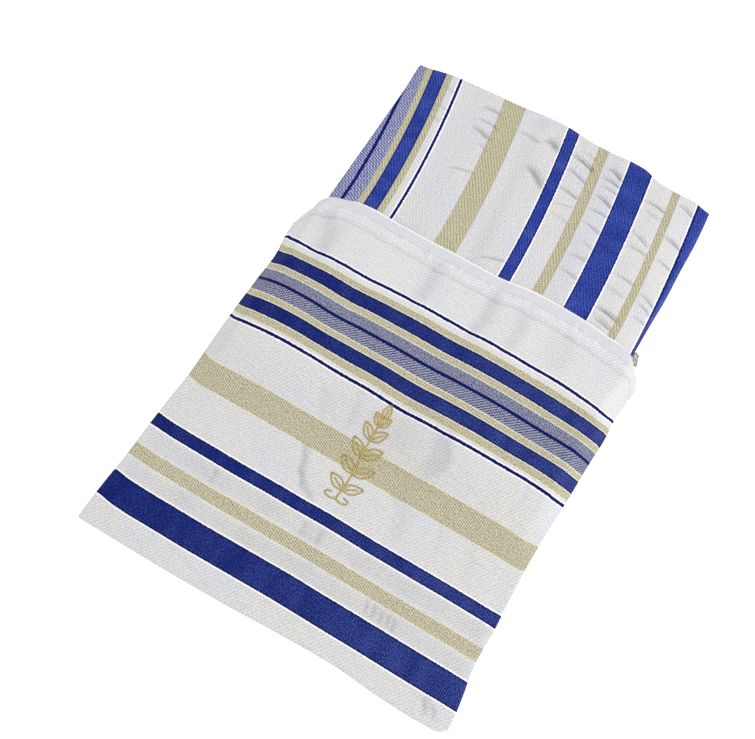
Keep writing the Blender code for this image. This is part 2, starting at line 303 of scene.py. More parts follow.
# Width of the single threads that bind a stripe's edges, drawn about three threads wide to show.
BINDING = {"navy": 0.95, "white": 0.9, "cream": 0.7}


def striped_cloth(name, stripes, weave, crumpled, turned, painted_light_span, whites, blues, golds, lavenders, navy):
    """Polyester twill with lurex and dyed stripes, woven in one cloth.

    The white ground is a soft twill that takes small crumples; blue is a tight rep with a
    pale thread showing in rows of dots, with painted sheen and shade in bars; gold is flat
    lurex whose grains are light and dark, partly by their own tone and partly as painted
    glints; lavender is blue warp crossed by white weft, so it reads as short slanted dashes.
    Real threads are 0.35 mm apart and too fine to show, so each repeat is drawn 1.4 mm long.
    weave gives the two thread directions, the twill's diagonal and the dashes' direction,
    each as waves a millimetre along and across; crumpled is how deep the small crumples
    are, in metres; turned is how much painted light the blue gains with each millimetre
    along; the argument after it gives the places across between which the ground is
    painted paler, a painted light. Of the colours, whites are warm, cool, shaded and the
    plump thread, which is also the colour of that painted light; blues are dark, light (its
    pale dots and painted sheen) and the binding thread; golds are dark, bright (its own
    grain and painted glints), rosy and the binding thread.
    """
    made, tree, shader = finish_of(name, 0.9, Specular_IOR_Level=0.12)
    mm = cloth_mm(tree)
    along = node(tree, "ShaderNodeSeparateXYZ", {"Vector": mm}, "X")
    across = node(tree, "ShaderNodeSeparateXYZ", {"Vector": mm}, "Y")

    # Threads float over a stripe's edge by up to 0.45 mm to either side.
    ragged = node(tree, "ShaderNodeTexNoise", {"Vector": mm, "Scale": 0.9, "Detail": 1.0})
    edge = node(tree, "ShaderNodeMath", {0: ragged, 1: 0.9, 2: across}, operation="MULTIPLY_ADD")
    edge = node(tree, "ShaderNodeMath", {0: edge, 1: 0.45}, operation="SUBTRACT")

    # Warp and weft are sets of waves; the grain is the unevenness of single threads.
    grain = node(tree, "ShaderNodeTexNoise", {"Vector": mm, "Scale": 1.0, "Detail": 2.0, "Roughness": 0.8})
    grain = node(tree, "ShaderNodeMapRange", {"Value": grain, "From Min": 0.34, "From Max": 0.66})
    waves = []
    for wave_along, wave_across in weave:
        per_mm = (2 * np.pi * wave_along, 2 * np.pi * wave_across, 0)
        turns = node(tree, "ShaderNodeVectorMath", {0: mm, 1: per_mm}, "Value", operation="DOT_PRODUCT")
        turns = node(tree, "ShaderNodeMath", {0: ragged, 1: 3.0, 2: turns}, operation="MULTIPLY_ADD")
        waves.append(node(tree, "ShaderNodeMath", {0: turns}, operation="SINE"))
    # Dots are the knots where both sets of waves rise.
    dots = node(tree, "ShaderNodeMath", {0: waves[0], 1: waves[1]}, operation="ADD")
    dots = node(tree, "ShaderNodeMath", {0: grain, 1: 1.2, 2: dots}, operation="MULTIPLY_ADD")
    dots = node(
        tree, "ShaderNodeMapRange", {"Value": dots, "From Min": -0.9, "From Max": 2.4},
        interpolation_type="SMOOTHSTEP",
    )
    twill = node(tree, "ShaderNodeMapRange", {"Value": waves[1], "From Min": -1.0, "From Max": 1.0})
    # The diagonal of the twill: faint lines 2 mm apart, broken up by the grain.
    hatch = node(tree, "ShaderNodeMath", {0: dots, 1: 0.5}, operation="MULTIPLY")
    hatch = node(tree, "ShaderNodeMath", {0: waves[2], 1: 0.32, 2: hatch}, operation="MULTIPLY_ADD")
    hatch = node(tree, "ShaderNodeMath", {0: grain, 1: 1.35, 2: hatch}, operation="MULTIPLY_ADD")
    hatch = node(tree, "ShaderNodeMapRange", {"Value": hatch, "From Min": 0.05, "From Max": 1.78})

    # The white ground drifts between warm and cool over a few centimetres.
    drift = node(tree, "ShaderNodeTexNoise", {"Vector": mm, "Scale": 0.028, "Detail": 2.0})
    drift = node(tree, "ShaderNodeMapRange", {"Value": drift, "From Min": 0.35, "From Max": 0.65})
    white = node(
        tree, "ShaderNodeMix", {0: drift, 6: linear(whites[0]), 7: linear(whites[1])}, 2, data_type="RGBA"
    )
    # The pouch's turned-in hem lies over the zip tape, whose lilac white shows through it.
    doubled = node(tree, "ShaderNodeMapRange", {"Value": across, "From Min": 254.0, "From Max": 268.0})
    white = node(tree, "ShaderNodeMix", {0: doubled, 6: white, 7: linear("#E6E6EE")}, 2, data_type="RGBA")
    fleck = node(tree, "ShaderNodeMath", {0: 1.0, 1: hatch}, operation="SUBTRACT")
    white = node(tree, "ShaderNodeMix", {0: fleck, 6: white, 7: linear(whites[2])}, 2, data_type="RGBA")
    # Painted light: across the given span the ground is painted paler, towards the pouch's mouth and the
    # shawl's right side.
    reach = {"Value": across, "From Min": painted_light_span[0], "From Max": painted_light_span[1], "To Max": 0.11}
    painted_light = node(tree, "ShaderNodeMapRange", reach)
    white = node(tree, "ShaderNodeMix", {0: painted_light, 6: white, 7: linear(whites[3])}, 2, data_type="RGBA")

    # Painted sheen and shade: the blue is painted lighter and darker in bars 12 mm long by 36 mm across, where
    # its long floats would catch the light.
    bars = node(tree, "ShaderNodeMapping", {"Vector": mm, "Scale": (0.085, 0.028, 1.0)})
    sheen = node(tree, "ShaderNodeTexNoise", {"Vector": bars, "Scale": 1.0, "Detail": 1.0})
    sheen = node(tree, "ShaderNodeMath", {0: sheen, 1: grain}, operation="ADD")
    sheen = node(tree, "ShaderNodeMath", {0: dots, 1: 0.7, 2: sheen}, operation="MULTIPLY_ADD")
    # Painted light: the blue grows lighter with each millimetre along, by the given rate.
    sheen = node(tree, "ShaderNodeMath", {0: along, 1: turned, 2: sheen}, operation="MULTIPLY_ADD")
    sheen = node(tree, "ShaderNodeMapRange", {"Value": sheen, "From Min": 1.2, "From Max": 2.4})
    ends = {0: sheen, 6: linear(blues[0]), 7: linear(blues[1])}
    blue = node(tree, "ShaderNodeMix", ends, 2, data_type="RGBA")

    # Lurex shows as flat grains in slanted rows, here and there turned to a rosier side; the light and dark of
    # the grains is partly their own tone and partly painted glint.
    flakes = node(tree, "ShaderNodeTexNoise", {"Vector": mm, "Scale": 1.5, "Detail": 1.0, "Roughness": 0.7})
    flakes = node(tree, "ShaderNodeMapRange", {"Value": flakes, "From Min": 0.36, "From Max": 0.64})
    spark = node(tree, "ShaderNodeMath", {0: twill, 1: 0.15, 2: flakes}, operation="MULTIPLY_ADD")
    spark = node(tree, "ShaderNodeMath", {0: dots, 1: 0.45, 2: spark}, operation="MULTIPLY_ADD")
    spark = node(tree, "ShaderNodeMapRange", {"Value": spark, "From Min": 0.2, "From Max": 1.25})
    blots = node(tree, "ShaderNodeTexNoise", {"Vector": mm, "Scale": 0.55, "Detail": 3.0, "Roughness": 0.9})
    rosy = node(tree, "ShaderNodeMapRange", {"Value": blots, "From Min": 0.45, "From Max": 0.8})
    ends = {0: spark, 6: linear(golds[0]), 7: linear(golds[1])}
    gold = node(tree, "ShaderNodeMix", ends, 2, data_type="RGBA")
    gold = node(tree, "ShaderNodeMix", {0: rosy, 6: gold, 7: linear(golds[2])}, 2, data_type="RGBA")

    # Lavender is white weft over blue warp, in short slanted dashes; heather is the same, drawn finer.
    dash = node(tree, "ShaderNodeMath", {0: blots, 1: 3.4, 2: waves[3]}, operation="MULTIPLY_ADD")
    dash = node(tree, "ShaderNodeMath", {0: dots, 1: 1.5, 2: dash}, operation="MULTIPLY_ADD")
    dash = node(tree, "ShaderNodeMath", {0: flakes, 1: 1.3, 2: dash}, operation="MULTIPLY_ADD")
    dash = node(tree, "ShaderNodeMapRange", {"Value": dash, "From Min": 1.9, "From Max": 5.1})
    fine = node(tree, "ShaderNodeMath", {0: dots, 1: 0.3, 2: flakes}, operation="MULTIPLY_ADD")
    fine = node(tree, "ShaderNodeMath", {0: blots, 1: 1.2, 2: fine}, operation="MULTIPLY_ADD")
    fine = node(tree, "ShaderNodeMapRange", {"Value": fine, "From Min": 0.8, "From Max": 2.0})
    ends = {6: linear(lavenders[0]), 7: linear(lavenders[1])}
    lavender = node(tree, "ShaderNodeMix", {0: dash, **ends}, 2, data_type="RGBA")
    heather = node(tree, "ShaderNodeMix", {0: fine, **ends}, 2, data_type="RGBA")

    colour = white
    yarns = {"gold": gold, "lavender": lavender, "heather": heather, "blue": blue, "navy": linear(navy)}
    for yarn, shade in yarns.items():
        if yarn in stripes["yarn"]:
            share = share_of(tree, edge, woven_in(stripes, yarn))
            colour = node(tree, "ShaderNodeMix", {0: share, 6: colour, 7: shade}, 2, data_type="RGBA")
    # A dark thread binds each edge of a blue stripe, and a pale one each edge of a gold one; where
    # the ground is next to blue, a plump white one lies beside it.
    bound = {yarn: [] for yarn in BINDING}
    for yarn, woven in (("navy", "blue"), ("cream", "gold")):
        for start, end in woven_in(stripes, woven):
            bound[yarn] += [(start, start + BINDING[yarn]), (end - BINDING[yarn], end)]
    for start, end, woven in zip(*stripes.values()):
        if woven in ("blue", "navy"):
            bound["white"] += [(start - BINDING["white"], start)] * (start not in stripes["end"])
            bound["white"] += [(end, end + BINDING["white"])] * (end not in stripes["start"])
    for yarn, thread, cover in (("navy", blues[2], 0.9), ("white", whites[3], 0.85), ("cream", golds[3], 0.6)):
        share = share_of(tree, edge, bound[yarn])
        share = node(tree, "ShaderNodeMath", {0: share, 1: cover}, operation="MULTIPLY")
        colour = node(tree, "ShaderNodeMix", {0: share, 6: colour, 7: linear(thread)}, 2, data_type="RGBA")
    # Painted shade: the attribute darkens the colour in creases and hollows, finer than the mesh can shade
    # them.
    painted_shading_amount = node(tree, "ShaderNodeAttribute", out="Fac", attribute_name="painted_shading")
    inside = node(tree, "ShaderNodeMath", {0: painted_shading_amount, 1: 0.6}, operation="MULTIPLY")
    colour = node(
        tree, "ShaderNodeMix", {0: inside, 6: colour, 7: linear("#5C6070")}, 2,
        data_type="RGBA", blend_type="MULTIPLY",
    )
    # Painted highlight: where the attribute is below 0, on a fold turned to the light, the yarn is painted
    # paler.
    rubbed = node(tree, "ShaderNodeMath", {0: painted_shading_amount, 1: -0.07}, operation="MULTIPLY")
    colour = node(tree, "ShaderNodeMix", {0: rubbed, 6: colour, 7: linear("#C6D0F2")}, 2, data_type="RGBA")
    tree.links.new(colour, shader.inputs["Base Color"])

    # Only lurex is metal: its grains glint, and are smoother where they do.
    lurex = share_of(tree, edge, woven_in(stripes, "gold"))
    glint = node(tree, "ShaderNodeMath", {0: lurex, 1: spark}, operation="MULTIPLY")
    metal = node(tree, "ShaderNodeMath", {0: glint, 1: 0.3}, operation="MULTIPLY")
    tree.links.new(metal, shader.inputs["Metallic"])
    rough = node(tree, "ShaderNodeMapRange", {"Value": glint, "To Min": 0.9, "To Max": 0.5})
    tree.links.new(rough, shader.inputs["Roughness"])

    # Fine crumples stay in the cloth: slanted waves 8 mm long and 3 mm apart.
    slant = node(tree, "ShaderNodeMapping", {"Vector": mm, "Rotation": (0, 0, 0.6), "Scale": (0.12, 0.30, 1.0)})
    crumple = node(
        tree, "ShaderNodeTexNoise",
        {"Vector": slant, "Scale": 1.0, "Detail": 3.0, "Roughness": 0.6, "Distortion": 0.6},
    )
    relief = node(tree, "ShaderNodeMath", {0: dots, 1: 0.035, 2: crumple}, operation="MULTIPLY_ADD")
    relief = node(tree, "ShaderNodeMath", {0: grain, 1: 0.04, 2: relief}, operation="MULTIPLY_ADD")
    bump = node(tree, "ShaderNodeBump", {"Strength": 1.0, "Distance": crumpled, "Height": relief})
    tree.links.new(bump, shader.inputs["Normal"])
    return made


def drifted(x, y):
    """Cloth coordinates of plan points on the pouch: along the stripes, and across them.

    Between two of the known woven lines the cloth is stretched evenly; beyond the first and
    the last it is only shifted.
    """
    names = [name for name in LINE_DRIFT if name != "x"]
    nominal = [float(name) for name in names]
    real = [curve(LINE_DRIFT, "x", name, x) for name in names]
    across = y - real[0] + nominal[0]
    for k in range(len(names) - 1):
        share = (y - real[k]) / (real[k + 1] - real[k])
        between = nominal[k] + (nominal[k + 1] - nominal[k]) * share
        across = np.where(y > real[k], between, across)
    across = np.where(y > real[-1], y - real[-1] + nominal[-1], across)
    return np.column_stack([x, across])


def pouch_plan(u, v, mouth_back):
    """Plan of a panel: u across from 0 to 1, v from the bottom seam to an edge mouth_back from the mouth.

    v shares out the length between bottom and mouth, then u the width between the sides there.
    """
    nominal = -PANEL_WIDTH / 2 + PANEL_WIDTH * u
    bottom = curve(POUCH_BOTTOM, "x", "y", nominal)
    mouth = curve(POUCH_MOUTH, "x", "y", nominal) - mouth_back
    y = bottom + (mouth - bottom) * v
    left = curve(POUCH_SIDES, "y", "left", y)
    right = curve(POUCH_SIDES, "y", "right", y)
    return left + (right - left) * u, y


def grid(rows, columns, u_power=1.0):
    """u and v over a grid, with columns drawn towards both edges when u_power is under 1."""
    u = np.linspace(-1, 1, columns)
    u = 0.5 + 0.5 * np.sign(u) * np.abs(u) ** u_power
    return np.meshgrid(u, np.linspace(0, 1, rows))


def edge_distance(u, v, width, length):
    """Distance in millimetres from a point of a width by length face to the nearest of its edges."""
    return np.minimum(np.minimum(u, 1 - u) * width, np.minimum(v, 1 - v) * length)


pouch_cloth = striped_cloth(
    "polyester_twill_with_lurex_pouch",
    POUCH_STRIPES,
    weave=((0.7, 0.0), (0.3, 0.64), (-0.41, 0.31), (-0.4, 0.44)),
    crumpled=0.0011,
    turned=0.0023,
    painted_light_span=(135, 232),
    whites=("#E3E0D9", "#DBDDE3", "#B6B6B7", "#F3F3F6"),
    blues=("#081A60", "#4A599E", "#080C4A"),
    golds=("#605A3B", "#DBD7BD", "#BBAD97", "#E9E5D2"),
    lavenders=("#23295C", "#B6B9C7"),
    navy="#0D1054",
)
u, v = grid(90, 90)
x, y = pouch_plan(u, v, TAPE_WIDTH + 2 * SEAM_GAP)
high = PANEL_WALL - 0.35 * rolled(edge_distance(u, v, FACE_WIDTH, FACE_LENGTH), 2.5)
rings = [(0.15, 0.25, 1.5), (0.5, 0.42, 1.0), (0.85, 0.25, 0.5)]
back_panel = cloth_slab("pouch_back_panel", x, y, 0 * x, high, rings, drifted, pouch_cloth)
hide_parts("pouch_back")
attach(back_panel, "pouch_and_shawl")

# ---------------------------------------------------------------------------
# Shawl, the folded layers. Light polyester, 180 cm by 50 cm, folded in eight
# along its length and in two across; each leaf of the stack is two thicknesses
# that meet in a soft fold at a side. It slides in from the pouch's mouth.
# ---------------------------------------------------------------------------

STACK_TOP = 13.4
TOP_FOLD = 3.2
# Where the pouch's mouth crosses the shawl.
MOUTH_AT = 273
SHAWL_LEFT = -114
SHAWL_WIDTH = 227
SHAWL_HIDDEN_END = 152.0
# Where the stack comes down from the pouch's back panel to the table.
SHAWL_STEP = 284.0
# Outline of the folded shawl on the plan: its two sides, and its far fold.
SHAWL_SIDES = {
    "y": (150, 215, 260, 300, 320, 345, 370, 395, 405),
    "left": (-110.8, -111, -112.4, -112.9, -113.2, -113.6, -114, -115.6, -116),
    "right": (110.4, 111.8, 112.8, 113.3, 113.8, 113.2, 113.0, 111.6, 111),
}
SHAWL_FAR = {
    "x": (-116, -90, -60, -34, -20, 2, 18, 35, 52, 62, 72, 85, 100, 113),
    "y": (395.5, 400.2, 402.6, 404.2, 406, 406.6, 404.6, 404.6, 405.6, 405, 401.4, 400, 400.2, 398),
}
# Stripes along the shawl's fold, in cloth millimetres from its middle line, left to right.
SHAWL_STRIPES = {
    "start": (
        -133, -128, -118, -112.5, -105.1, -102.9, -94.5, -90, -80, -70, -36, 12, 36, 59, 92.5, 111,
        111.5, 134,
    ),
    "end": (
        -128, -118, -112.5, -105.1, -102.9, -94.5, -90, -80, -75.5, -68, -20, 20.5, 43.5, 76, 98,
        111.5, 129, 140,
    ),
    "yarn": (
        "gold", "blue", "gold", "lavender", "navy", "lavender", "gold", "blue", "gold", "navy",
        "gold", "blue", "gold", "blue", "gold", "navy", "blue", "gold",
    ),
}
# The leaves of the stack from the table up: height share where each ends, how far its fold
# stands out or back at the left and the right, and the cloth place that its fold shows.
LEAVES = {
    "top": (0.13, 0.27, 0.42, 0.56, 0.70, 0.86, 1.0),
    "left": (0.5, -0.5, 0.7, 0.1, -0.7, 0.6, -0.2),
    "right": (0.2, 0.8, -0.5, 0.5, -0.3, 0.9, 0.3),
    "shows": (-60, 50, -8, 84, -52, 28, -84),
}


def shawl_plan(u, v, inset):
    """Plan of the folded shawl, its edges drawn in by inset: u across, v from the hidden end to the far fold.

    v shares out the length between the two ends, then u the width between the sides there.
    """
    nominal = SHAWL_LEFT + SHAWL_WIDTH * u
    far = curve(SHAWL_FAR, "x", "y", nominal) - inset
    near = SHAWL_HIDDEN_END + inset
    y = near + (far - near) * v
    left = curve(SHAWL_SIDES, "y", "left", y) + inset
    right = curve(SHAWL_SIDES, "y", "right", y) - inset
    return left + (right - left) * u, y


def slanted(x, y):
    """Cloth coordinates of plan points on the shawl: the stripes lean to the left towards the far fold.

    The lean starts at the mouth, and at the middle line it is 12.9 mm by 128 mm further on.
    """
    t = np.clip((y - MOUTH_AT) / 128, 0, 1.2)
    return np.column_stack([y, x + (12.9 - 0.032 * x) * t**1.6])


shawl_cloth = striped_cloth(
    "polyester_twill_with_lurex_shawl",
    SHAWL_STRIPES,
    weave=((-0.2, 0.66), (0.22, 0.42), (0.48, 0.23), (0.48, 0.23)),
    crumpled=0.0006,
    turned=0.0,
    painted_light_span=(62, 102),
    whites=("#E5E2DB", "#DDDFE5", "#B3B3B7", "#F5F5F8"),
    blues=("#172C7E", "#5A6BBE", "#0B1468"),
    golds=("#67613E", "#DBD7BB", "#BAAE93", "#ABA58E"),
    lavenders=("#363F80", "#C2C6D8"),
    navy="#0E1160",
)
u, v = grid(110, 100)
x, y = shawl_plan(u, v, 3.4)
low = (PANEL_WALL + SEAM_GAP) * (1 - ease((y - SHAWL_STEP) / 5))
high = np.full_like(x, STACK_TOP - TOP_FOLD - SEAM_GAP)
rim_x, rim_y = round_edge(x), round_edge(y)
# Outside the pouch nothing presses on the folds: they stand out further and more evenly.
outside = ease((rim_y - 278) / 8)
rings = []
bottom = 0.0
for k, (top, left, right) in enumerate(zip(LEAVES["top"], LEAVES["left"], LEAVES["right"])):
    lean = left + (right - left) * ease((rim_x + 60) / 120)
    wander = soft_noise(rim_x + 300, rim_y + 31 * k, 16, 16, 11 + k)
    fold = (1.25 + 0.45 * lean + 0.5 * wander) * (1 - 0.15 * outside) + 0.9 * outside
    for turn in (0.12, 0.3, 0.5, 0.7, 0.88):
        bulge = np.sqrt(1 - (2 * turn - 1) ** 2)
        share = bottom + (top - bottom) * turn
        loose = min(1, 4 * share * (1 - share))
        level = share + 0.012 * soft_noise(rim_x + 70, rim_y, 23, 23, 29 + k) * loose
        rings.append((level, fold * bulge + 0.05, (1 - share) * 9 + 2))
    # Between two leaves the rim comes back to the edge of the grid.
    if top < 1:
        rings.append((top, 0 * fold, (1 - top) * 9 + 3))
    bottom = top
layers = cloth_slab("shawl_folded_layers", x, y, low, high, rings, slanted, shawl_cloth)

# At the sides each leaf shows the part of the cloth where it was folded.
SIDE_FROM, SIDE_END = 102, 392
mesh = layers.data
corners = np.empty(len(mesh.loops), int)
mesh.loops.foreach_get("vertex_index", corners)
uv = np.empty(2 * len(mesh.loops), np.float32)
mesh.uv_layers["cloth"].data.foreach_get("uv", uv)
uv = uv.reshape(-1, 2)
place = np.empty(3 * len(mesh.vertices), np.float32)
mesh.vertices.foreach_get("co", place)
x, y, z = ((place.reshape(-1, 3) + ORIGIN) / MM).T
side = (np.abs(x) > SIDE_FROM) & (y < SIDE_END) & (y > SHAWL_HIDDEN_END + 4)
leaf = np.searchsorted(LEAVES["top"], np.clip(z / high.max(), 0, 0.999))
across = (np.array(LEAVES["shows"])[leaf] + 1.5 * z - 9 * (x < 0)) * MM
uv[:, 1] = np.where(side[corners], across[corners], uv[:, 1])
mesh.uv_layers["cloth"].data.foreach_set("uv", uv.ravel())
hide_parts("shawl_layers")
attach(layers, "pouch_and_shawl")

# ---------------------------------------------------------------------------
# Shawl, the top fold. The last turn of the same cloth, pressed with an iron;
# the white ground between the tighter stripes has puckered across them. Its
# side folds roll over, and the gap of the fold shows as a line round them.
# ---------------------------------------------------------------------------

FOLD_WIDTH, FOLD_LENGTH = 226, 250
# Puckers: the ends of each trough on the plan, its width and its depth.
PUCKERS = {
    "x0": (
        10, 12, 14, 17, 36, 36, 38, 38, 38, 40, 42, 43, 69, 71, 72, 73, 75, 76, 78, 90, 92, 95, 97,
        98, 99, -12, -14, -8, -62, -60, -60, -50, -58, -92, -90, -88, -30, 13, 19, 44, 74,
    ),
    "y0": (
        388, 376, 359, 345, 392, 383, 376, 368, 355, 344, 316, 304, 382, 376, 355, 344, 320, 291,
        283, 392, 364, 345, 315, 308, 298, 388, 363, 280, 388, 377, 370, 359, 331, 388, 372, 361,
        384, 393, 338, 330, 308,
    ),
    "x1": (
        28, 28, 29, 30, 48, 50, 51, 52, 53, 55, 56, 57, 84, 83, 86, 88, 90, 92, 92, 102, 106, 107,
        109, 110, 110, 0, 4, 10, -48, -44, -45, -42, -40, -84, -82, -80, -14, 27, 32, 57, 89,
    ),
    "y1": (
        383, 371, 357, 349, 387, 381, 375, 363, 355, 340, 317, 301, 380, 373, 349, 343, 318, 288,
        280, 388, 359, 341, 310, 303, 296, 385, 352, 287, 389, 377, 366, 357, 336, 386, 371, 360,
        383, 392, 336, 326, 306,
    ),
    "width": (
        2.4, 1.8, 1.9, 1.4, 2.8, 2.0, 1.6, 2.0, 1.6, 1.6, 1.8, 1.5, 2.0, 1.4, 1.7, 1.6, 1.8, 2.8,
        2.2, 1.8, 1.9, 1.6, 1.8, 1.7, 1.6, 5.0, 4.6, 1.8, 2.2, 2.0, 2.6, 2.0, 1.8, 1.5, 1.4, 1.4,
        2.4, 1.6, 1.4, 1.6, 1.4,
    ),
    "depth": (
        0.75, 0.55, 0.6, 0.3, 0.95, 0.7, 0.5, 0.75, 0.5, 0.5, 0.4, 0.45, 0.7, 0.35, 0.5, 0.45, 0.5,
        0.8, 0.6, 0.6, 0.65, 0.5, 0.6, 0.5, 0.4, 0.7, 0.65, 0.4, 0.5, 0.4, 0.6, 0.4, 0.35, 0.3, 0.3,
        0.3, 0.4, 0.3, 0.25, 0.3, 0.3,
    ),
}
# Broad soft valleys along the shawl: place across, width, depth.
VALLEYS = {
    "x": (-54, -9, 47, 84),
    "width": (9, 5, 7, 5),
    "depth": (0.35, 0.9, 0.5, 0.4),
}


def trough(x, y, x0, y0, x1, y1, width):
    """Bell-shaped trough on a short bowed line: 1 on it, falling off to the sides and past its ends.

    Returns that, and how many widths to its right a point lies.
    """
    dx, dy = x1 - x0, y1 - y0
    run = np.hypot(dx, dy)
    along = ((x - x0) * dx + (y - y0) * dy) / run
    side = ((x - x0) * dy - (y - y0) * dx) / run
    bowed = side + 0.45 * width * np.sin(np.pi * np.clip(along / run, 0, 1))
    ends = ease((along + 2 * width) / (3 * width)) * ease((run + 2 * width - along) / (3 * width))
    return ends * bell(bowed, 0, width), bowed / width


def coloured(stripes, across):
    """1 on the stripes but for the narrow navy lines, 0 on the white ground, eased over 1.5 mm."""
    share = 0 * across
    for start, end, yarn in zip(*stripes.values()):
        if yarn != "navy":
            share = np.maximum(share, ease((across - start + 1) / 1.5) * ease((end - across + 1) / 1.5))
    return share


def shawl_top(u, v, x, y):
    """Height of the shawl's top, level and rolled over at its edges, with puckers; and the shade and light
    painted into its colour.

    The height is a level plane less the rolled edges, the valleys and a trough for each pucker,
    with a low swell beside each trough, plus short waves where the cloth is free of the pouch.
    """
    edge = edge_distance(u, v, FOLD_WIDTH, FOLD_LENGTH)
    from_right = (1 - u) * FOLD_WIDTH
    z = STACK_TOP - 0.9 * rolled(edge, 5) - 0.5 * ease((y - 285) / 100) - 0.9 * ease(1 - from_right / 9)
    free = ease((y - 262) / 12) * ease(edge / 4)
    painted_shading = 0 * x
    for place, width, depth in zip(*VALLEYS.values()):
        lean = place - 0.09 * (y - MOUTH_AT)
        sunk = bell(x, lean, width) * free * (0.75 + 0.25 * soft_noise(x, y, 40, 16, 8))
        z -= depth * sunk
        # Painted shade in each valley, besides its depth.
        painted_shading = np.maximum(painted_shading, 0.16 * depth * sunk)
    for x0, y0, x1, y1, width, depth in zip(*PUCKERS.values()):
        dip, away = trough(x, y, x0, y0, x1, y1, 0.75 * width)
        z -= 2.0 * depth * free * dip * (1 - 0.6 * np.clip(away, -1.5, 1.5))
        z += 0.9 * depth * free * trough(x, y - 2.4 * width, x0, y0, x1, y1, 1.8 * width)[0]
        # Painted shade along the trough of each pucker.
        painted_shading = np.maximum(painted_shading, np.minimum(1, 1.3 * depth) * free * dip**1.8 * ease((x - x0 + 4) / 14))
    across = slanted(x.ravel(), y.ravel())[:, 1].reshape(x.shape)
    plain = 1 - 0.65 * coloured(SHAWL_STRIPES, across)
    # Beside the tight gold and blue stripes the edge of the ground is drawn into short ticks.
    beside = 0 * x
    for start, end, yarn in zip(*SHAWL_STRIPES.values()):
        if yarn in ("gold", "blue") and start > -40:
            beside = np.maximum(beside, ease((across - start + 4.5) / 4) * (across < start + 0.3))
            beside = np.maximum(beside, ease((end + 4.5 - across) / 4) * (across > end - 0.3))
    z += 0.16 * free * beside * soft_noise(x, y - 0.25 * x, 7, 1.9, 6)
    # The ground is drawn in more to the right, where the stripes lie close together.
    tight = 0.35 + 0.65 * ease((x + 10) / 25) + 0.5 * ease((x - 60) / 12)
    z += 0.5 * free * plain * tight * soft_noise(x + 0.25 * y, y + 0.12 * x, 17, 5.2, 3)
    z += 0.14 * free * plain * tight * soft_noise(x - 0.2 * y, y, 9, 2.8, 4)
    z += 0.16 * free * soft_noise(x, y, 22, 22, 5)
    # Painted highlight: the right-hand fold is painted paler where it turns to the light, most near the pouch.
    painted_shading -= ease(1 - from_right / 2.0) * ease((y - 255) / 10) * (1 - 0.6 * ease((y - 310) / 70))
    return z, painted_shading


# The rows stand close only where the fold is out of the pouch.
HIDDEN_SHARE = 0.44
v = np.concatenate([np.linspace(0, HIDDEN_SHARE, 14, endpoint=False), np.linspace(HIDDEN_SHARE, 1, 284)])
u, v = np.meshgrid(np.linspace(0, 1, 262), v)
x, y = shawl_plan(u, v, 1.4)
high, painted_shading = shawl_top(u, v, x, y)
low = np.full_like(x, STACK_TOP - TOP_FOLD)
# Two thicknesses, each with a round edge, and the gap of the fold between them.
rings = [
    (0.06, 0.75, 5.2), (0.16, 1.2, 4.6), (0.27, 1.25, 4.1), (0.35, 0.95, 3.6), (0.40, 0.45, 3.1),
    (0.45, 0.95, 2.6), (0.55, 1.4, 2.0), (0.68, 1.5, 1.5), (0.82, 1.25, 0.9), (0.93, 0.7, 0.4),
]
top_fold = cloth_slab(
    "shawl_top_fold_cloth", x, y, low, high, rings, slanted, shawl_cloth, level=True, painted_shading=painted_shading
)
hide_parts("shawl_top_fold")
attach(top_fold, "pouch_and_shawl")

# ---------------------------------------------------------------------------
# Pouch, front panel. The same striped cloth; it lies on the back panel from
# the bottom seam, climbs over the folded shawl and falls at both sides to the
# seams. Its mouth edge is turned under and topstitched beside the zip.
# ---------------------------------------------------------------------------

RISE_START = 116.0
RISE_END = 160.0
SIDE_SLOPE = 13.0
# Soft folds that run from the rise to the mouth: how far the panel stands off the shawl.
RIPPLES = {
    "x": (-122, -108, -97, -86, -72, -58, -44, -32, -22, -12, 2, 12, 22, 31, 45, 56, 68, 82, 98, 112, 122),
    "rise": (
        0, 0.4, 1.3, 2.4, 2.5, 2.1, 1.6, 1.3, 1.4, 1.5, 1.1, 0.8, 1.5, 2.1, 2.2, 1.8, 1.3, 1.0, 0.6,
        0.2, 0,
    ),
}
# Creases of the front: the ends of each on the plan, its width and its depth.
CREASES = {
    "x0": (
        -34, -29, -23, 30, -23, 34, 40, 104, 110, 15, 37, -28, 70, -106, 48, 53, 58, 63, 67, -72,
        -8, 3, -46, 84, 96, 60,
    ),
    "y0": (
        112, 97, 89, 112, 156, 158, 150, 18, 16, 262, 262, 262, 262, 252, 49, 49, 48, 49, 48, 71,
        70, 71, 150, 110, 158, 112,
    ),
    "x1": (
        -28, -22, -13, 40, -19, 37, 44, 109, 115, 16, 40, -25, 74, -98, 50, 55, 60, 65, 69, -70, -7,
        4, -38, 88, 92, 66,
    ),
    "y1": (
        96, 88, 84, 95, 134, 134, 138, 8, 9, 230, 230, 232, 234, 228, 41, 41, 41, 41, 40, 61, 62,
        61, 136, 88, 136, 94,
    ),
    "width": (
        2.4, 2.2, 2.4, 6, 3.0, 7, 4.5, 2.6, 2.2, 5, 5.6, 5.4, 6, 7, 1.5, 1.5, 1.7, 1.5, 1.5, 1.8,
        1.6, 1.6, 4, 4, 3, 3.4,
    ),
    "depth": (
        0.8, 0.95, 0.7, 0.6, 0.5, 1.1, 0.6, 0.8, 0.6, 1.2, 0.6, 1.0, 0.3, 1.1, 0.55, 0.6, 0.5, 0.6,
        0.55, 0.4, 0.45, 0.45, 0.4, 0.45, 0.4, 0.35,
    ),
}


def risen(y):
    """How far the front panel has climbed onto the shawl: 0 up to the rise, 1 beyond it."""
    return ease((y - RISE_START) / (RISE_END - RISE_START))


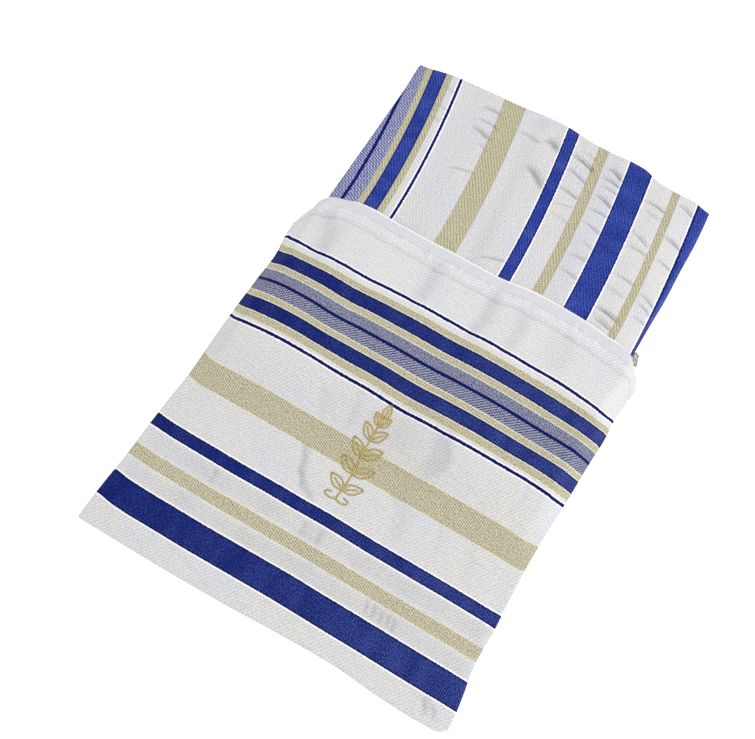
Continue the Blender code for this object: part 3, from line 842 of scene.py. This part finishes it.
def from_seams(x, y):
    """Distance in millimetres from a point of the plan to the nearer side seam, and to the bottom seam."""
    left = curve(POUCH_SIDES, "y", "left", y)
    right = curve(POUCH_SIDES, "y", "right", y)
    return np.minimum(x - left, right - x), y - curve(POUCH_BOTTOM, "x", "y", x)


def front_under(x, y):
    """Height of the front panel's under side: low at the seams, over the shawl's stack beyond.

    Returns what the panel rests on, and the soft puff and ripples that stand above that.
    The rest height climbs as a power of a sine over the side's slope, times the rise.
    """
    side, bottom = from_seams(x, y)
    across = np.sin(np.pi / 2 * np.clip(side / SIDE_SLOPE, 0, 1)) ** 1.3
    puff = 1.3 * ease(np.minimum(side, bottom) / 22) * (1 - risen(y))
    ripple = curve(RIPPLES, "x", "rise", x - 0.05 * (y - 238))
    ripple *= risen(y) * ease((side - 6) / 12) * (1 - 0.4 * ease((y - 245) / 25))
    lift = STACK_TOP + 2 * SEAM_GAP - PANEL_WALL - SEAM_GAP
    return PANEL_WALL + SEAM_GAP + lift * across * risen(y), puff + ripple


def front_relief(x, y):
    """What the creases and the fine wrinkles add to the front panel's height, and the shade painted into its
    colour.

    The white ground crumples in short waves across the stripes; the stripes hold flatter,
    and the turned-in mouth edge is gathered by its stitching.
    """
    inner = ease(np.minimum(*from_seams(x, y)) / 9)
    relief, painted_shading = 0 * x, 0 * x
    for x0, y0, x1, y1, width, depth in zip(*CREASES.values()):
        dip, away = trough(x, y, x0, y0, x1, y1, width)
        relief -= depth * dip * (1 - 0.45 * away)
        # Narrow creases get painted shade inside them.
        if width < 3:
            painted_shading = np.maximum(painted_shading, np.minimum(1, 0.6 * depth) * dip**1.8)
    across = drifted(x.ravel(), y.ravel())[:, 1].reshape(x.shape)
    plain = 1 - 0.6 * coloured(POUCH_STRIPES, across)
    from_mouth = curve(POUCH_MOUTH, "x", "y", x) - y
    hem = ease((from_mouth - 5) / 3) * ease((26 - from_mouth) / 14)
    relief += 0.30 * hem * soft_noise(x + 0.3 * y, y, 5.2, 15, 25)
    gather = ease((from_mouth - 3) / 3) * ease((15 - from_mouth) / 7)
    relief += 0.42 * gather * soft_noise(x + 0.15 * y, y, 3.2, 6, 26)
    relief += 0.10 * plain * soft_noise(x + 0.1 * y, y, 6, 22, 21)
    relief += 0.04 * plain * soft_noise(x + 0.2 * y, y, 3, 8, 22)
    relief += 0.20 * soft_noise(x, y, 18, 24, 23)
    relief += 0.05 * soft_noise(x + 0.5 * y, y - 0.5 * x, 8, 8, 24)
    # Painted shade in the hollows of the relief.
    painted_shading = np.maximum(painted_shading, 0.24 * np.clip(-relief - 0.1, 0, 1))
    # The narrow whites between the lower stripes are drawn in, and shade is painted on them; a broad patch of
    # painted shade lies right of the middle.
    drawn_in = ease((across - 38) / 3) * ease((50 - across) / 3)
    drawn_in += ease((across - 60) / 3) * ease((73 - across) / 3)
    relief += 0.22 * drawn_in * soft_noise(x + 0.1 * y, y, 3.4, 14, 27)
    painted_shade_patch = bell(x, 14, 27) * bell(y, 146, 17)
    painted_shading += 0.15 * drawn_in * (1 + 0.5 * soft_noise(x, y, 16, 30, 28)) + 0.17 * painted_shade_patch
    # Painted shade in soft valleys that run from the hem towards the stripes, right of the middle.
    painted_valley_shade = 0.10 * bell(x, 71, 8) + 0.05 * bell(x, 76, 3)
    painted_valley_shade += 0.05 * bell(x, 64, 2.5) * ease((y - 240) / 10) + 0.05 * bell(x, 41, 4)
    painted_shading += painted_valley_shade * ease((y - 228) / 8) * ease((264 - y) / 4)
    return relief * inner, painted_shading * inner


def front_top(x, y):
    """Height of the front panel's upper face, before its edges are turned down.

    Creases never press it more than 0.4 mm into what it rests on.
    """
    rest, above = front_under(x, y)
    lowest = rest - 0.15 - 0.25 * risen(y)
    return np.maximum(rest + above + front_relief(x, y)[0], lowest) + PANEL_WALL


def front_cloth(x, y):
    """Cloth coordinates of the front panel: where it slopes down at the sides it is longer than its plan."""
    cloth = drifted(x, y)
    for edge, way in (("left", -1), ("right", 1)):
        side = np.clip(way * (curve(POUCH_SIDES, "y", edge, y) - x) / SIDE_SLOPE, 0, 1)
        cloth[:, 0] += way * 5.1 * risen(y) ** 2 * (1 - side) ** 1.6
    return cloth


u, v = grid(229, 319, 0.88)
at = PANEL_WIDTH * u
gathered = 0.5 * soft_noise(at, 0 * u, 3.6, 9, 41) + 0.35 * soft_noise(at, 0 * u, 11, 9, 42)
# At the right corner the turned-in edge runs on over the tape's end.
tape_shows = 1 - 0.85 * ease((u - 0.945) / 0.035)
x, y = pouch_plan(u, v, (TAPE_WIDTH + 2 * SEAM_GAP + 1.5 + gathered) * tape_shows)
top = front_top(x, y)
mouth_back = (1 - v) * FACE_LENGTH
turned = rolled(edge_distance(u, v, FACE_WIDTH, FACE_LENGTH), 2.2)
turned *= 0.3 + 0.7 * ease((mouth_back - 1.5) / 4)
# The turning doubles the cloth for 9.5 mm, and the inner row of stitches pulls it down.
hem = 0.25 * ease((9.5 - mouth_back) / 2.5)
high = top - 0.45 * turned + hem - 0.25 * bell(mouth_back, 6.4, 0.9)
low = top - PANEL_WALL
# The turning ends in a groove behind the inner row of stitches, and shade is painted into it.
painted_shading = front_relief(x, y)[1] + 0.3 * bell(mouth_back, 9.0, 0.9)
rings = [(0.12, 0.2, 1.6), (0.4, 0.4, 1.1), (0.7, 0.35, 0.6), (0.9, 0.18, 0.3)]
front_panel = cloth_slab(
    "pouch_front_panel", x, y, low, high, rings, front_cloth, pouch_cloth, thin=2, painted_shading=painted_shading
)
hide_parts("pouch_front")
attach(front_panel, "pouch_and_shawl")


# ---------------------------------------------------------------------------
# Topstitching of the mouth. White sewing thread through the turned-in edge of
# the front panel, once close to the zip tape and once along the edge of the
# turning, 3 mm from needle hole to needle hole.
# ---------------------------------------------------------------------------


def tube_faces(index):
    """Faces of a tube with closed ends: index holds the points of one section in each row."""
    quads = [index[:-1], np.roll(index, -1, 1)[:-1], np.roll(index, -1, 1)[1:], index[1:]]
    return np.stack(quads, -1).reshape(-1, 4).tolist() + [index[0, ::-1].tolist(), index[-1].tolist()]


def run_along(path):
    """Length along a path from its start to each of its points."""
    return np.concatenate([[0], np.cumsum(np.linalg.norm(np.diff(path, axis=0), axis=1))])


def swept(path, side, half, rise, around=6):
    """Points, faces and thread coordinates of a cord along a path, oval in section.

    A section reaches half to each side and rise up and down, so a point is the path plus
    half * cos(a) * side plus rise * sin(a) * up, with a starting at the bottom. The first and
    the last section are half as large, and closed.
    """
    along = np.gradient(path, axis=0)
    along /= np.linalg.norm(along, axis=1, keepdims=True)
    up = np.cross(along, side)
    a = 2 * np.pi * np.arange(around) / around - np.pi / 2
    size = np.ones((len(path), 1, 1))
    size[[0, -1]] = 0.5
    ring = half * np.cos(a)[None, :, None] * side[:, None] + rise * np.sin(a)[None, :, None] * up[:, None]
    points = (path[:, None] + size * ring).reshape(-1, 3)
    faces = tube_faces(np.arange(len(points)).reshape(-1, around))
    thread = np.stack(np.broadcast_arrays(run_along(path)[:, None], (a + np.pi / 2)[None] * half), -1)
    return points, faces, thread.reshape(-1, 2)


def joined(parts):
    """Several sets of points, faces and thread coordinates as one."""
    points, faces, thread = [], [], []
    count = 0
    for more_points, more_faces, more_thread in parts:
        faces += [[corner + count for corner in face] for face in more_faces]
        points.append(more_points)
        thread.append(more_thread)
        count += len(more_points)
    return np.concatenate(points), faces, np.concatenate(thread)


def laid(x, y, height, half, rise, around=6):
    """A thread laid along plan points x, y at a height, its width level."""
    path = np.column_stack([x, y, height])
    dx, dy = np.gradient(x), np.gradient(y)
    side = np.column_stack([-dy, dx, 0 * dx]) / np.hypot(dx, dy)[:, None]
    return swept(path, side, half, rise, around)


def thread_finish(name, dark, light, rough, metal, turn):
    """Twisted thread: its turns painted light and dark, a painted highlight and painted shade of the twist,
    turn millimetres apart, with a soft bump.
    """
    made, tree, shader = finish_of(name, rough, metal, Specular_IOR_Level=0.3)
    mm = cloth_mm(tree)
    wound = 2 * np.pi / turn
    twist = node(tree, "ShaderNodeVectorMath", {0: mm, 1: (wound, wound, 0)}, "Value", operation="DOT_PRODUCT")
    fibre = node(tree, "ShaderNodeTexNoise", {"Vector": mm, "Scale": 1.4, "Detail": 2.0})
    twist = node(tree, "ShaderNodeMath", {0: fibre, 1: 4.0, 2: twist}, operation="MULTIPLY_ADD")
    twist = node(tree, "ShaderNodeMath", {0: twist}, operation="SINE")
    twist = node(tree, "ShaderNodeMapRange", {"Value": twist, "From Min": -1.0})
    colour = node(tree, "ShaderNodeMix", {0: twist, 6: linear(dark), 7: linear(light)}, 2, data_type="RGBA")
    tree.links.new(colour, shader.inputs["Base Color"])
    bump = node(tree, "ShaderNodeBump", {"Strength": 0.7, "Distance": 0.0002, "Height": twist})
    tree.links.new(bump, shader.inputs["Normal"])
    return made


# Sewing thread is spun polyester: a dry white cord, its twist 1 mm long, with painted shade in its turns.
sewing_thread = thread_finish("spun_polyester_sewing_thread", "#D2D2D8", "#F0F0F3", 0.8, 0.0, 1.0)
STITCH_PITCH = 3.0
STITCH_SHOWS = 2.3
t = np.linspace(0, 1, 4)
stitches = []
for back_from_tape in (3.6, 8.6):
    for start in np.arange(-116.0, 115.0, STITCH_PITCH):
        u = (start + STITCH_SHOWS * t + PANEL_WIDTH / 2) / PANEL_WIDTH
        stitch_x, stitch_y = pouch_plan(u, np.ones_like(u), TAPE_WIDTH + back_from_tape)
        height = front_top(stitch_x, stitch_y) + 0.25 - 0.3 * np.abs(2 * t - 1) ** 3
        stitches.append(laid(stitch_x, stitch_y, height, 0.3, 0.22))
topstitching = cloth_mesh("mouth_topstitching", *joined(stitches), sewing_thread)
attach(topstitching, "pouch_and_shawl")

# ---------------------------------------------------------------------------
# Embroidery in the middle of the front. Gold rayon thread in close satin
# stitch: an upright sprig with eleven outlined leaves and a pair of curls at
# its foot, raised half a millimetre from the cloth.
# ---------------------------------------------------------------------------

SPRIG_FOOT = 91
SPRIG_LENGTH = 58
# Half the width of a row of stitches, and how far it rises above and below its middle.
THREAD_HALF = 0.58
THREAD_RISE = 0.5
# Leaves of the sprig: place of the foot, way to the side, length, and slant from upright in degrees.
LEAVES_OF_SPRIG = {
    "foot": (99, 99, 111, 111, 123, 123, 134, 134, 143, 143, 148),
    "side": (-1, 1, -1, 1, -1, 1, -1, 1, -1, 1, 1),
    "length": (13, 13, 14, 14, 13.5, 13.5, 11.5, 11.5, 9, 9, 10),
    "slant": (62, 62, 56, 56, 50, 50, 44, 44, 36, 36, 0),
}


def stem(t):
    """The sprig's stem: nearly upright, with a slight double bend that is one turn of a sine."""
    return 0.8 * np.sin(2 * np.pi * t), SPRIG_FOOT + SPRIG_LENGTH * t


def embroidered(x, y):
    """One row of satin stitch along plan points, lying on the front panel."""
    return laid(x, y, front_top(x, y) + 0.12, THREAD_HALF, THREAD_RISE, 8)


rows = [embroidered(*stem(np.linspace(0, 1, 60)))]
for foot, side, length, slant in zip(*LEAVES_OF_SPRIG.values()):
    slant = np.radians(slant)
    foot_x = stem((foot - SPRIG_FOOT) / SPRIG_LENGTH)[0]
    t = np.linspace(0, 1, 22)
    ahead, half_width = length * t, 0.24 * length * np.sin(np.pi * t**0.85)
    for away in (half_width, -half_width):
        rows.append(embroidered(
            foot_x + side * (ahead * np.sin(slant) + away * np.cos(slant)),
            foot + ahead * np.cos(slant) - away * np.sin(slant),
        ))
    vein = length * np.linspace(0.12, 0.72, 10)
    rows.append(embroidered(foot_x + side * vein * np.sin(slant), foot + vein * np.cos(slant)))
# Each curl is three quarters of a turn of a spiral that closes in by a third.
t = np.linspace(0, 1, 26)
a = 1.55 * np.pi * t
reach = 1 - 0.35 * t
for side in (-1, 1):
    rows.append(embroidered(
        side * (4.4 - 4.4 * reach * np.cos(a)),
        SPRIG_FOOT + 2 - 2.4 * reach * np.sin(a),
    ))
# Rayon thread is glossy along its length; its turns are painted as light and dark ticks, a painted highlight
# and painted shade.
gold_thread = thread_finish("rayon_gold_embroidery_thread", "#6E5C22", "#E3CC80", 0.4, 0.4, 1.5)
sprig = cloth_mesh("embroidered_sprig", *joined(rows), gold_thread)
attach(sprig, "pouch_and_shawl")

# ---------------------------------------------------------------------------
# Zip tapes. Woven polyester ribbon, one sewn to each panel's mouth edge; the
# front one runs under the turned-in edge and lies over the shawl, the back one
# lies on the table under it.
# ---------------------------------------------------------------------------


def tape_cloth(x, y):
    """Cloth coordinates on a tape: along the mouth, and out from the panel's edge."""
    return np.column_stack([x, y - curve(POUCH_MOUTH, "x", "y", x) + TAPE_WIDTH])


def tape_finish():
    """Ribbon of spun polyester: ribs along it 1 mm apart crossed by weft, faintly lilac."""
    made, tree, shader = finish_of("woven_polyester_zip_tape", 0.85, Specular_IOR_Level=0.15)
    mm = cloth_mm(tree)
    along = node(tree, "ShaderNodeSeparateXYZ", {"Vector": mm}, "X")
    outward = node(tree, "ShaderNodeSeparateXYZ", {"Vector": mm}, "Y")
    weft = node(tree, "ShaderNodeMath", {0: along, 1: 5.2}, operation="MULTIPLY")
    weft = node(tree, "ShaderNodeMath", {0: weft}, operation="SINE")
    ribs = node(tree, "ShaderNodeMath", {0: outward, 1: 5.6}, operation="MULTIPLY")
    ribs = node(tree, "ShaderNodeMath", {0: ribs}, operation="SINE")
    grain = node(tree, "ShaderNodeTexNoise", {"Vector": mm, "Scale": 0.9, "Detail": 3.0})
    woven = node(tree, "ShaderNodeMath", {0: weft, 1: 0.5, 2: ribs}, operation="MULTIPLY_ADD")
    woven = node(tree, "ShaderNodeMath", {0: grain, 1: 2.5, 2: woven}, operation="MULTIPLY_ADD")
    woven = node(tree, "ShaderNodeMapRange", {"Value": woven, "From Min": 0.0, "From Max": 2.6})
    colour = node(
        tree, "ShaderNodeMix", {0: woven, 6: linear("#BEBEC6"), 7: linear("#E3E3E8")}, 2, data_type="RGBA"
    )
    # Its outer edge is a selvedge, where weft turns back over the last warp; it is painted bright as a
    # highlight along the edge.
    selvedge_highlight = node(tree, "ShaderNodeMath", {0: outward, 1: TAPE_WIDTH - SELVEDGE}, operation="GREATER_THAN")
    colour = node(tree, "ShaderNodeMix", {0: selvedge_highlight, 6: colour, 7: linear("#F8F8FA")}, 2, data_type="RGBA")
    tree.links.new(colour, shader.inputs["Base Color"])
    bump = node(tree, "ShaderNodeBump", {"Strength": 0.8, "Distance": 0.0003, "Height": woven})
    tree.links.new(bump, shader.inputs["Normal"])
    return made


# How much of the tape is tucked behind its panel's edge, its thickness, and the width of its selvedge, which
# carries a painted highlight.
TUCKED = 3.4
TAPE_WALL = 0.9
SELVEDGE = 0.75
zip_tape = tape_finish()
u, v = np.meshgrid(np.linspace(0.026, 0.974, 230), np.linspace(0, 1, 15))
inner_x, inner_y = pouch_plan(u, np.ones_like(u), TAPE_WIDTH + TUCKED)
outer_x, outer_y = pouch_plan(u, np.ones_like(u), 0.0)
x, y = inner_x + (outer_x - inner_x) * v, inner_y + (outer_y - inner_y) * v
shown = v * (TAPE_WIDTH + TUCKED) - TUCKED
waved = 0.3 * soft_noise(x, 0 * y, 9, 9, 31) * ease((shown + 1) / 4) - 0.12 * bell(shown, 0.2, 0.5)
high = front_top(x, y) - 1.35 + 1.2 * ease(shown + 2.6) + waved
rings = [(0.15, 0.12, 0.5), (0.5, 0.2, 0.3), (0.85, 0.12, 0.1)]
for name, low in (("zip_tape_back", 0 * x + 0.15), ("zip_tape_front", high - TAPE_WALL)):
    tape = cloth_slab(name + "_ribbon", x, y, low, low + TAPE_WALL, rings, tape_cloth, zip_tape)
    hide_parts(name)
    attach(tape, "pouch_and_shawl")

# ---------------------------------------------------------------------------
# Zip coils. Each is one nylon filament wound into a spiral, 0.9 mm across and
# 1.2 mm from turn to turn, sewn along the free edge of its tape; both end at
# the slider by the right corner of the mouth.
# ---------------------------------------------------------------------------

COIL_PITCH = 1.2
COIL_RADIUS = 0.27
FILAMENT_RADIUS = 0.19
# Nylon is hard and half clear: smooth, milky white, with a sharp small highlight.
nylon = thread_finish("nylon_coil_filament", "#EEEEF3", "#FAFAFC", 0.35, 0.0, 3.0)
for name, edge_z in (("back", 0.6 + 0 * x[-1]), ("front", high[-1] - 0.5 * TAPE_WALL)):
    base = np.column_stack([x[-1], y[-1] + 0.25, edge_z])
    base = base[(base[:, 0] > -116) & (base[:, 0] < 114.6)]
    run = run_along(base)
    at = np.arange(0, run[-1], COIL_PITCH / 9)
    line = np.column_stack([np.interp(at, run, base[:, k]) for k in range(3)])
    forward = np.gradient(line, axis=0)
    forward /= np.linalg.norm(forward, axis=1, keepdims=True)
    level = np.column_stack([-forward[:, 1], forward[:, 0], 0 * at])
    level /= np.linalg.norm(level, axis=1, keepdims=True)
    turn = 2 * np.pi * at / COIL_PITCH
    out = np.cos(turn)[:, None] * level + np.sin(turn)[:, None] * np.cross(forward, level)
    filament = swept(line + COIL_RADIUS * out, out, FILAMENT_RADIUS, FILAMENT_RADIUS, 5)
    coil = cloth_mesh(f"zip_coil_{name}", *filament, nylon)
    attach(coil, "pouch_and_shawl")

# ---------------------------------------------------------------------------
# Zip slider. Two nickel-plated zinc plates on a post, with a low bridge over
# the outer one; it stands on its edge beside the shawl, in the mouth's corner.
# ---------------------------------------------------------------------------

SLIDER_CENTRE = np.array((114.95, 272.9, 7.4))
SLIDER_ALONG = np.array((-0.3401, 0.9404, 0.0))
SLIDER_OUT = np.array((0.9404, 0.3401, 0.0))
SLIDER_ACROSS = np.cross(SLIDER_OUT, SLIDER_ALONG)
SLIDER_LENGTH = 8.6
SLIDER_HALF_WIDTH = 3.1
# A plate's faces, out from the slider's middle, and the round of its rims.
PLATE_INNER, PLATE_OUTER, PLATE_ROUND = 0.35, 0.95, 0.16
# The pin that the pull turns on, in the middle of the bridge.
PIN_ALONG = 2.7
PIN_OUT = 1.7
BRIDGE_HALF_LENGTH = 1.3
BRIDGE_FOOT = 0.7
BRIDGE_RISE = 2.0


def on_slider(along, across, out):
    """Plan points of places given along the slider, across it and out from its middle."""
    place = [np.asarray(a, float)[..., None] for a in (along, across, out)]
    return SLIDER_CENTRE + place[0] * SLIDER_ALONG + place[1] * SLIDER_ACROSS + place[2] * SLIDER_OUT


def power_wave(wave, power):
    """A sine or cosine, its size raised to a power and its sign kept: under 1, a circle turns squarish."""
    return np.sign(wave) * np.abs(wave) ** power


def plate(along, half, low, high, round_by):
    """A plate between two heights, its sides half away at each place along it, its rims rounded.

    Its sections are its outline drawn in by a quarter circle below, and by another above.
    """
    edge_along = np.concatenate([along, along[::-1]])
    edge_across = np.concatenate([-half, half[::-1]])
    turn = np.linspace(0, np.pi / 2, 4)
    inset = round_by * np.concatenate([1 - np.sin(turn), (1 - np.sin(turn))[::-1]])
    from_face = round_by * (1 - np.cos(turn))
    out = np.concatenate([low + from_face, (high - from_face)[::-1]])
    middle = 0.5 * (along[0] + along[-1])
    reach = 0.5 * (along[-1] - along[0])
    in_along = middle + (edge_along - middle) * (1 - inset[:, None] / reach)
    in_across = edge_across - np.sign(edge_across) * inset[:, None]
    points = on_slider(in_along, in_across, np.broadcast_to(out[:, None], in_along.shape)).reshape(-1, 3)
    return points, tube_faces(np.arange(len(points)).reshape(in_along.shape)), points[:, :2]


def nickel_finish():
    """Nickel plate on die-cast zinc: warm grey metal, rubbed bright in blots, with fine scratches."""
    made, tree, shader = finish_of("nickel_plated_zinc", 0.35, 1.0)
    place = node(tree, "ShaderNodeTexCoord", out="Object")
    mm = node(tree, "ShaderNodeVectorMath", {0: place, "Scale": 1000.0}, operation="SCALE")
    rubbed = node(tree, "ShaderNodeTexNoise", {"Vector": mm, "Scale": 0.7, "Detail": 3.0})
    colour = node(
        tree, "ShaderNodeMix", {0: rubbed, 6: linear("#918B80"), 7: linear("#E9E5DD")}, 2, data_type="RGBA"
    )
    tree.links.new(colour, shader.inputs["Base Color"])
    # Scratches are 0.7 mm long on the level and 0.07 mm apart up the metal.
    stretched = node(tree, "ShaderNodeVectorMath", {0: mm, 1: (1.5, 1.5, 14.0)}, operation="MULTIPLY")
    scratch = node(tree, "ShaderNodeTexNoise", {"Vector": stretched, "Scale": 1.0, "Detail": 2.0})
    rough = node(tree, "ShaderNodeMapRange", {"Value": scratch, "To Min": 0.22, "To Max": 0.5})
    tree.links.new(rough, shader.inputs["Roughness"])
    bump = node(tree, "ShaderNodeBump", {"Strength": 0.4, "Distance": 0.0001, "Height": scratch})
    tree.links.new(bump, shader.inputs["Normal"])
    return made


nickel = nickel_finish()
t = np.linspace(0, 1, 25)
along = (t - 0.5) * SLIDER_LENGTH
# A plate narrows to its foot and is widest near its head, with every corner softened.
half = np.interp(t, (0, 0.1, 0.5, 0.8, 1), (0.62, 0.80, 0.82, 1.0, 0.84)) * SLIDER_HALF_WIDTH
for _ in range(2):
    half[1:-1] = (half[:-2] + 2 * half[1:-1] + half[2:]) / 4
arch = np.pi * np.linspace(0, 1, 15)
bridge = on_slider(
    PIN_ALONG - BRIDGE_HALF_LENGTH * power_wave(np.cos(arch), 0.6),
    0 * arch,
    BRIDGE_FOOT + BRIDGE_RISE * np.sin(arch) ** 0.6,
)
slider = cloth_mesh(
    "zip_slider_body",
    *joined([
        plate(along, half, -PLATE_OUTER, -PLATE_INNER, PLATE_ROUND),
        # The wedge between the plates, which parts the two coils.
        plate(along * 0.93, half - 0.75, -PLATE_INNER - 0.1, PLATE_INNER + 0.1, 0.05),
        plate(along, half, PLATE_INNER, PLATE_OUTER, PLATE_ROUND),
        swept(bridge, np.broadcast_to(SLIDER_ACROSS, bridge.shape), 0.65, 0.27, 10),
    ]),
    nickel,
)
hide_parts("zip_slider")
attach(slider, "pouch_and_shawl")

# ---------------------------------------------------------------------------
# Zip pull. A die-cast leaf of the same nickel; the bar at its eye turns under
# the slider's bridge.
# ---------------------------------------------------------------------------

# Middle along the slider, half length and half width of the leaf and of its eye; half the leaf's wall.
LEAF = -0.95, 4.1, 2.2
EYE = 0.95, 1.3, 1.15
LEAF_HALF_WALL = 0.4
ROUND, SECTION = 72, 16
a = 2 * np.pi * np.arange(ROUND) / ROUND
ahead, aside = power_wave(np.cos(a), 0.45), power_wave(np.sin(a), 0.45)
# The leaf is a ring: squarish ovals for its outside, which tapers to the foot, and for its eye.
tapered = 1 - 0.18 * ease((ahead + 1) / 2)
outer = np.array((LEAF[0] + LEAF[1] * ahead, LEAF[2] * aside * tapered))
eye = np.array((EYE[0] + EYE[1] * ahead, EYE[2] * aside))
# The section of the ring, from its outer edge over the top to the eye and back below.
b = 2 * np.pi * np.arange(SECTION) / SECTION
to_eye = 0.5 - 0.5 * power_wave(np.cos(b), 0.35)
thick = LEAF_HALF_WALL * power_wave(np.sin(b), 0.35)
ring = outer[:, None] + (eye - outer)[:, None] * to_eye[:, None]
points = on_slider(*ring, PIN_OUT + np.broadcast_to(thick[:, None], ring[0].shape)).reshape(-1, 3)
index = np.arange(len(points)).reshape(SECTION, ROUND)
beside = np.roll(index, -1, 1)
quads = np.stack([index, beside, np.roll(beside, -1, 0), np.roll(index, -1, 0)], -1).reshape(-1, 4)
pull = cloth_mesh("zip_pull_leaf", points, quads.tolist(), points[:, :2], nickel)
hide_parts("zip_pull")
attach(pull, "pull")

# ---------------------------------------------------------------------------
# Stage: a pale table top, two soft window-like lights and the camera, which
# looks down on the pouch from its bottom right.
# ---------------------------------------------------------------------------

# Laminate is nearly even; its glow keeps it white between the lights.
laminate, tree, shader = finish_of(
    "pale_laminate_table", 0.9, Emission_Color=(1, 1, 1, 1), Emission_Strength=0.5
)
mottle = node(tree, "ShaderNodeTexNoise", {"Scale": 6.0, "Detail": 2.0})
ends = {0: mottle, 6: linear("#F6F6F6"), 7: linear("#FAFAFA")}
shade = node(tree, "ShaderNodeMix", ends, 2, data_type="RGBA")
tree.links.new(shade, shader.inputs["Base Color"])
TABLE_HALF = 3.0
TABLE_Z = -0.0001
turns = ((-1, -1), (1, -1), (1, 1), (-1, 1))
corners = [(TABLE_HALF * x, TABLE_HALF * y, TABLE_Z) for x, y in turns]
mesh = bpy.data.meshes.new("table_top")
mesh.from_pydata(corners, [], [(0, 1, 2, 3)])
mesh.materials.append(laminate)
floor = bpy.data.objects.new("table_top", mesh)
bpy.context.scene.collection.objects.link(floor)

world = bpy.data.worlds.new("studio")
world.use_nodes = True
background = world.node_tree.nodes["Background"]
background.inputs["Color"].default_value = (1, 1, 1, 1)
background.inputs["Strength"].default_value = 0.76
bpy.context.scene.world = world
bpy.context.scene.view_settings.view_transform = "Standard"

# Both lights face the middle of the table; places and sizes are in metres.
LIGHTS = {
    "name": ("key", "fill"),
    "at": ((1.5, -0.15, 1.2), (-0.5, 0.1, 2.2)),
    "size": (0.45, 1.4),
    "watts": (13.0, 13.5),
}
for name, at, size, watts in zip(*LIGHTS.values()):
    lamp = bpy.data.lights.new(name, "AREA")
    lamp.size = size
    lamp.energy = watts
    stand = bpy.data.objects.new(name, lamp)
    stand.location = at
    stand.rotation_euler = (-Vector(at)).to_track_quat("-Z", "Y").to_euler()
    bpy.context.scene.collection.objects.link(stand)

AZIMUTH, ELEVATION, ROLL = np.radians((21.5, 65.7, 10.0))
TARGET = np.array((-22.67, 180.87, 0.0)) * MM - ORIGIN
DISTANCE = 0.792
# Width of the view at a distance of one.
VIEW_WIDTH = 755 / 1241
back = np.array((
    np.sin(AZIMUTH) * np.cos(ELEVATION),
    -np.cos(AZIMUTH) * np.cos(ELEVATION),
    np.sin(ELEVATION),
))
right = np.cross(-back, (0, 0, 1))
right /= np.linalg.norm(right)
up = np.cross(right, -back)
turned_right = np.cos(ROLL) * right + np.sin(ROLL) * up
turned_up = -np.sin(ROLL) * right + np.cos(ROLL) * up
lens = bpy.data.cameras.new("camera")
lens.sensor_fit = "HORIZONTAL"
lens.sensor_width = 36.0
lens.lens = lens.sensor_width / VIEW_WIDTH
lens.clip_start = 0.01
camera = bpy.data.objects.new("camera", lens)
facing = np.column_stack([turned_right, turned_up, back, TARGET + back * DISTANCE])
camera.matrix_world = Matrix(facing.tolist() + [[0, 0, 0, 1]])
bpy.context.scene.collection.objects.link(camera)
bpy.context.scene.camera = camera
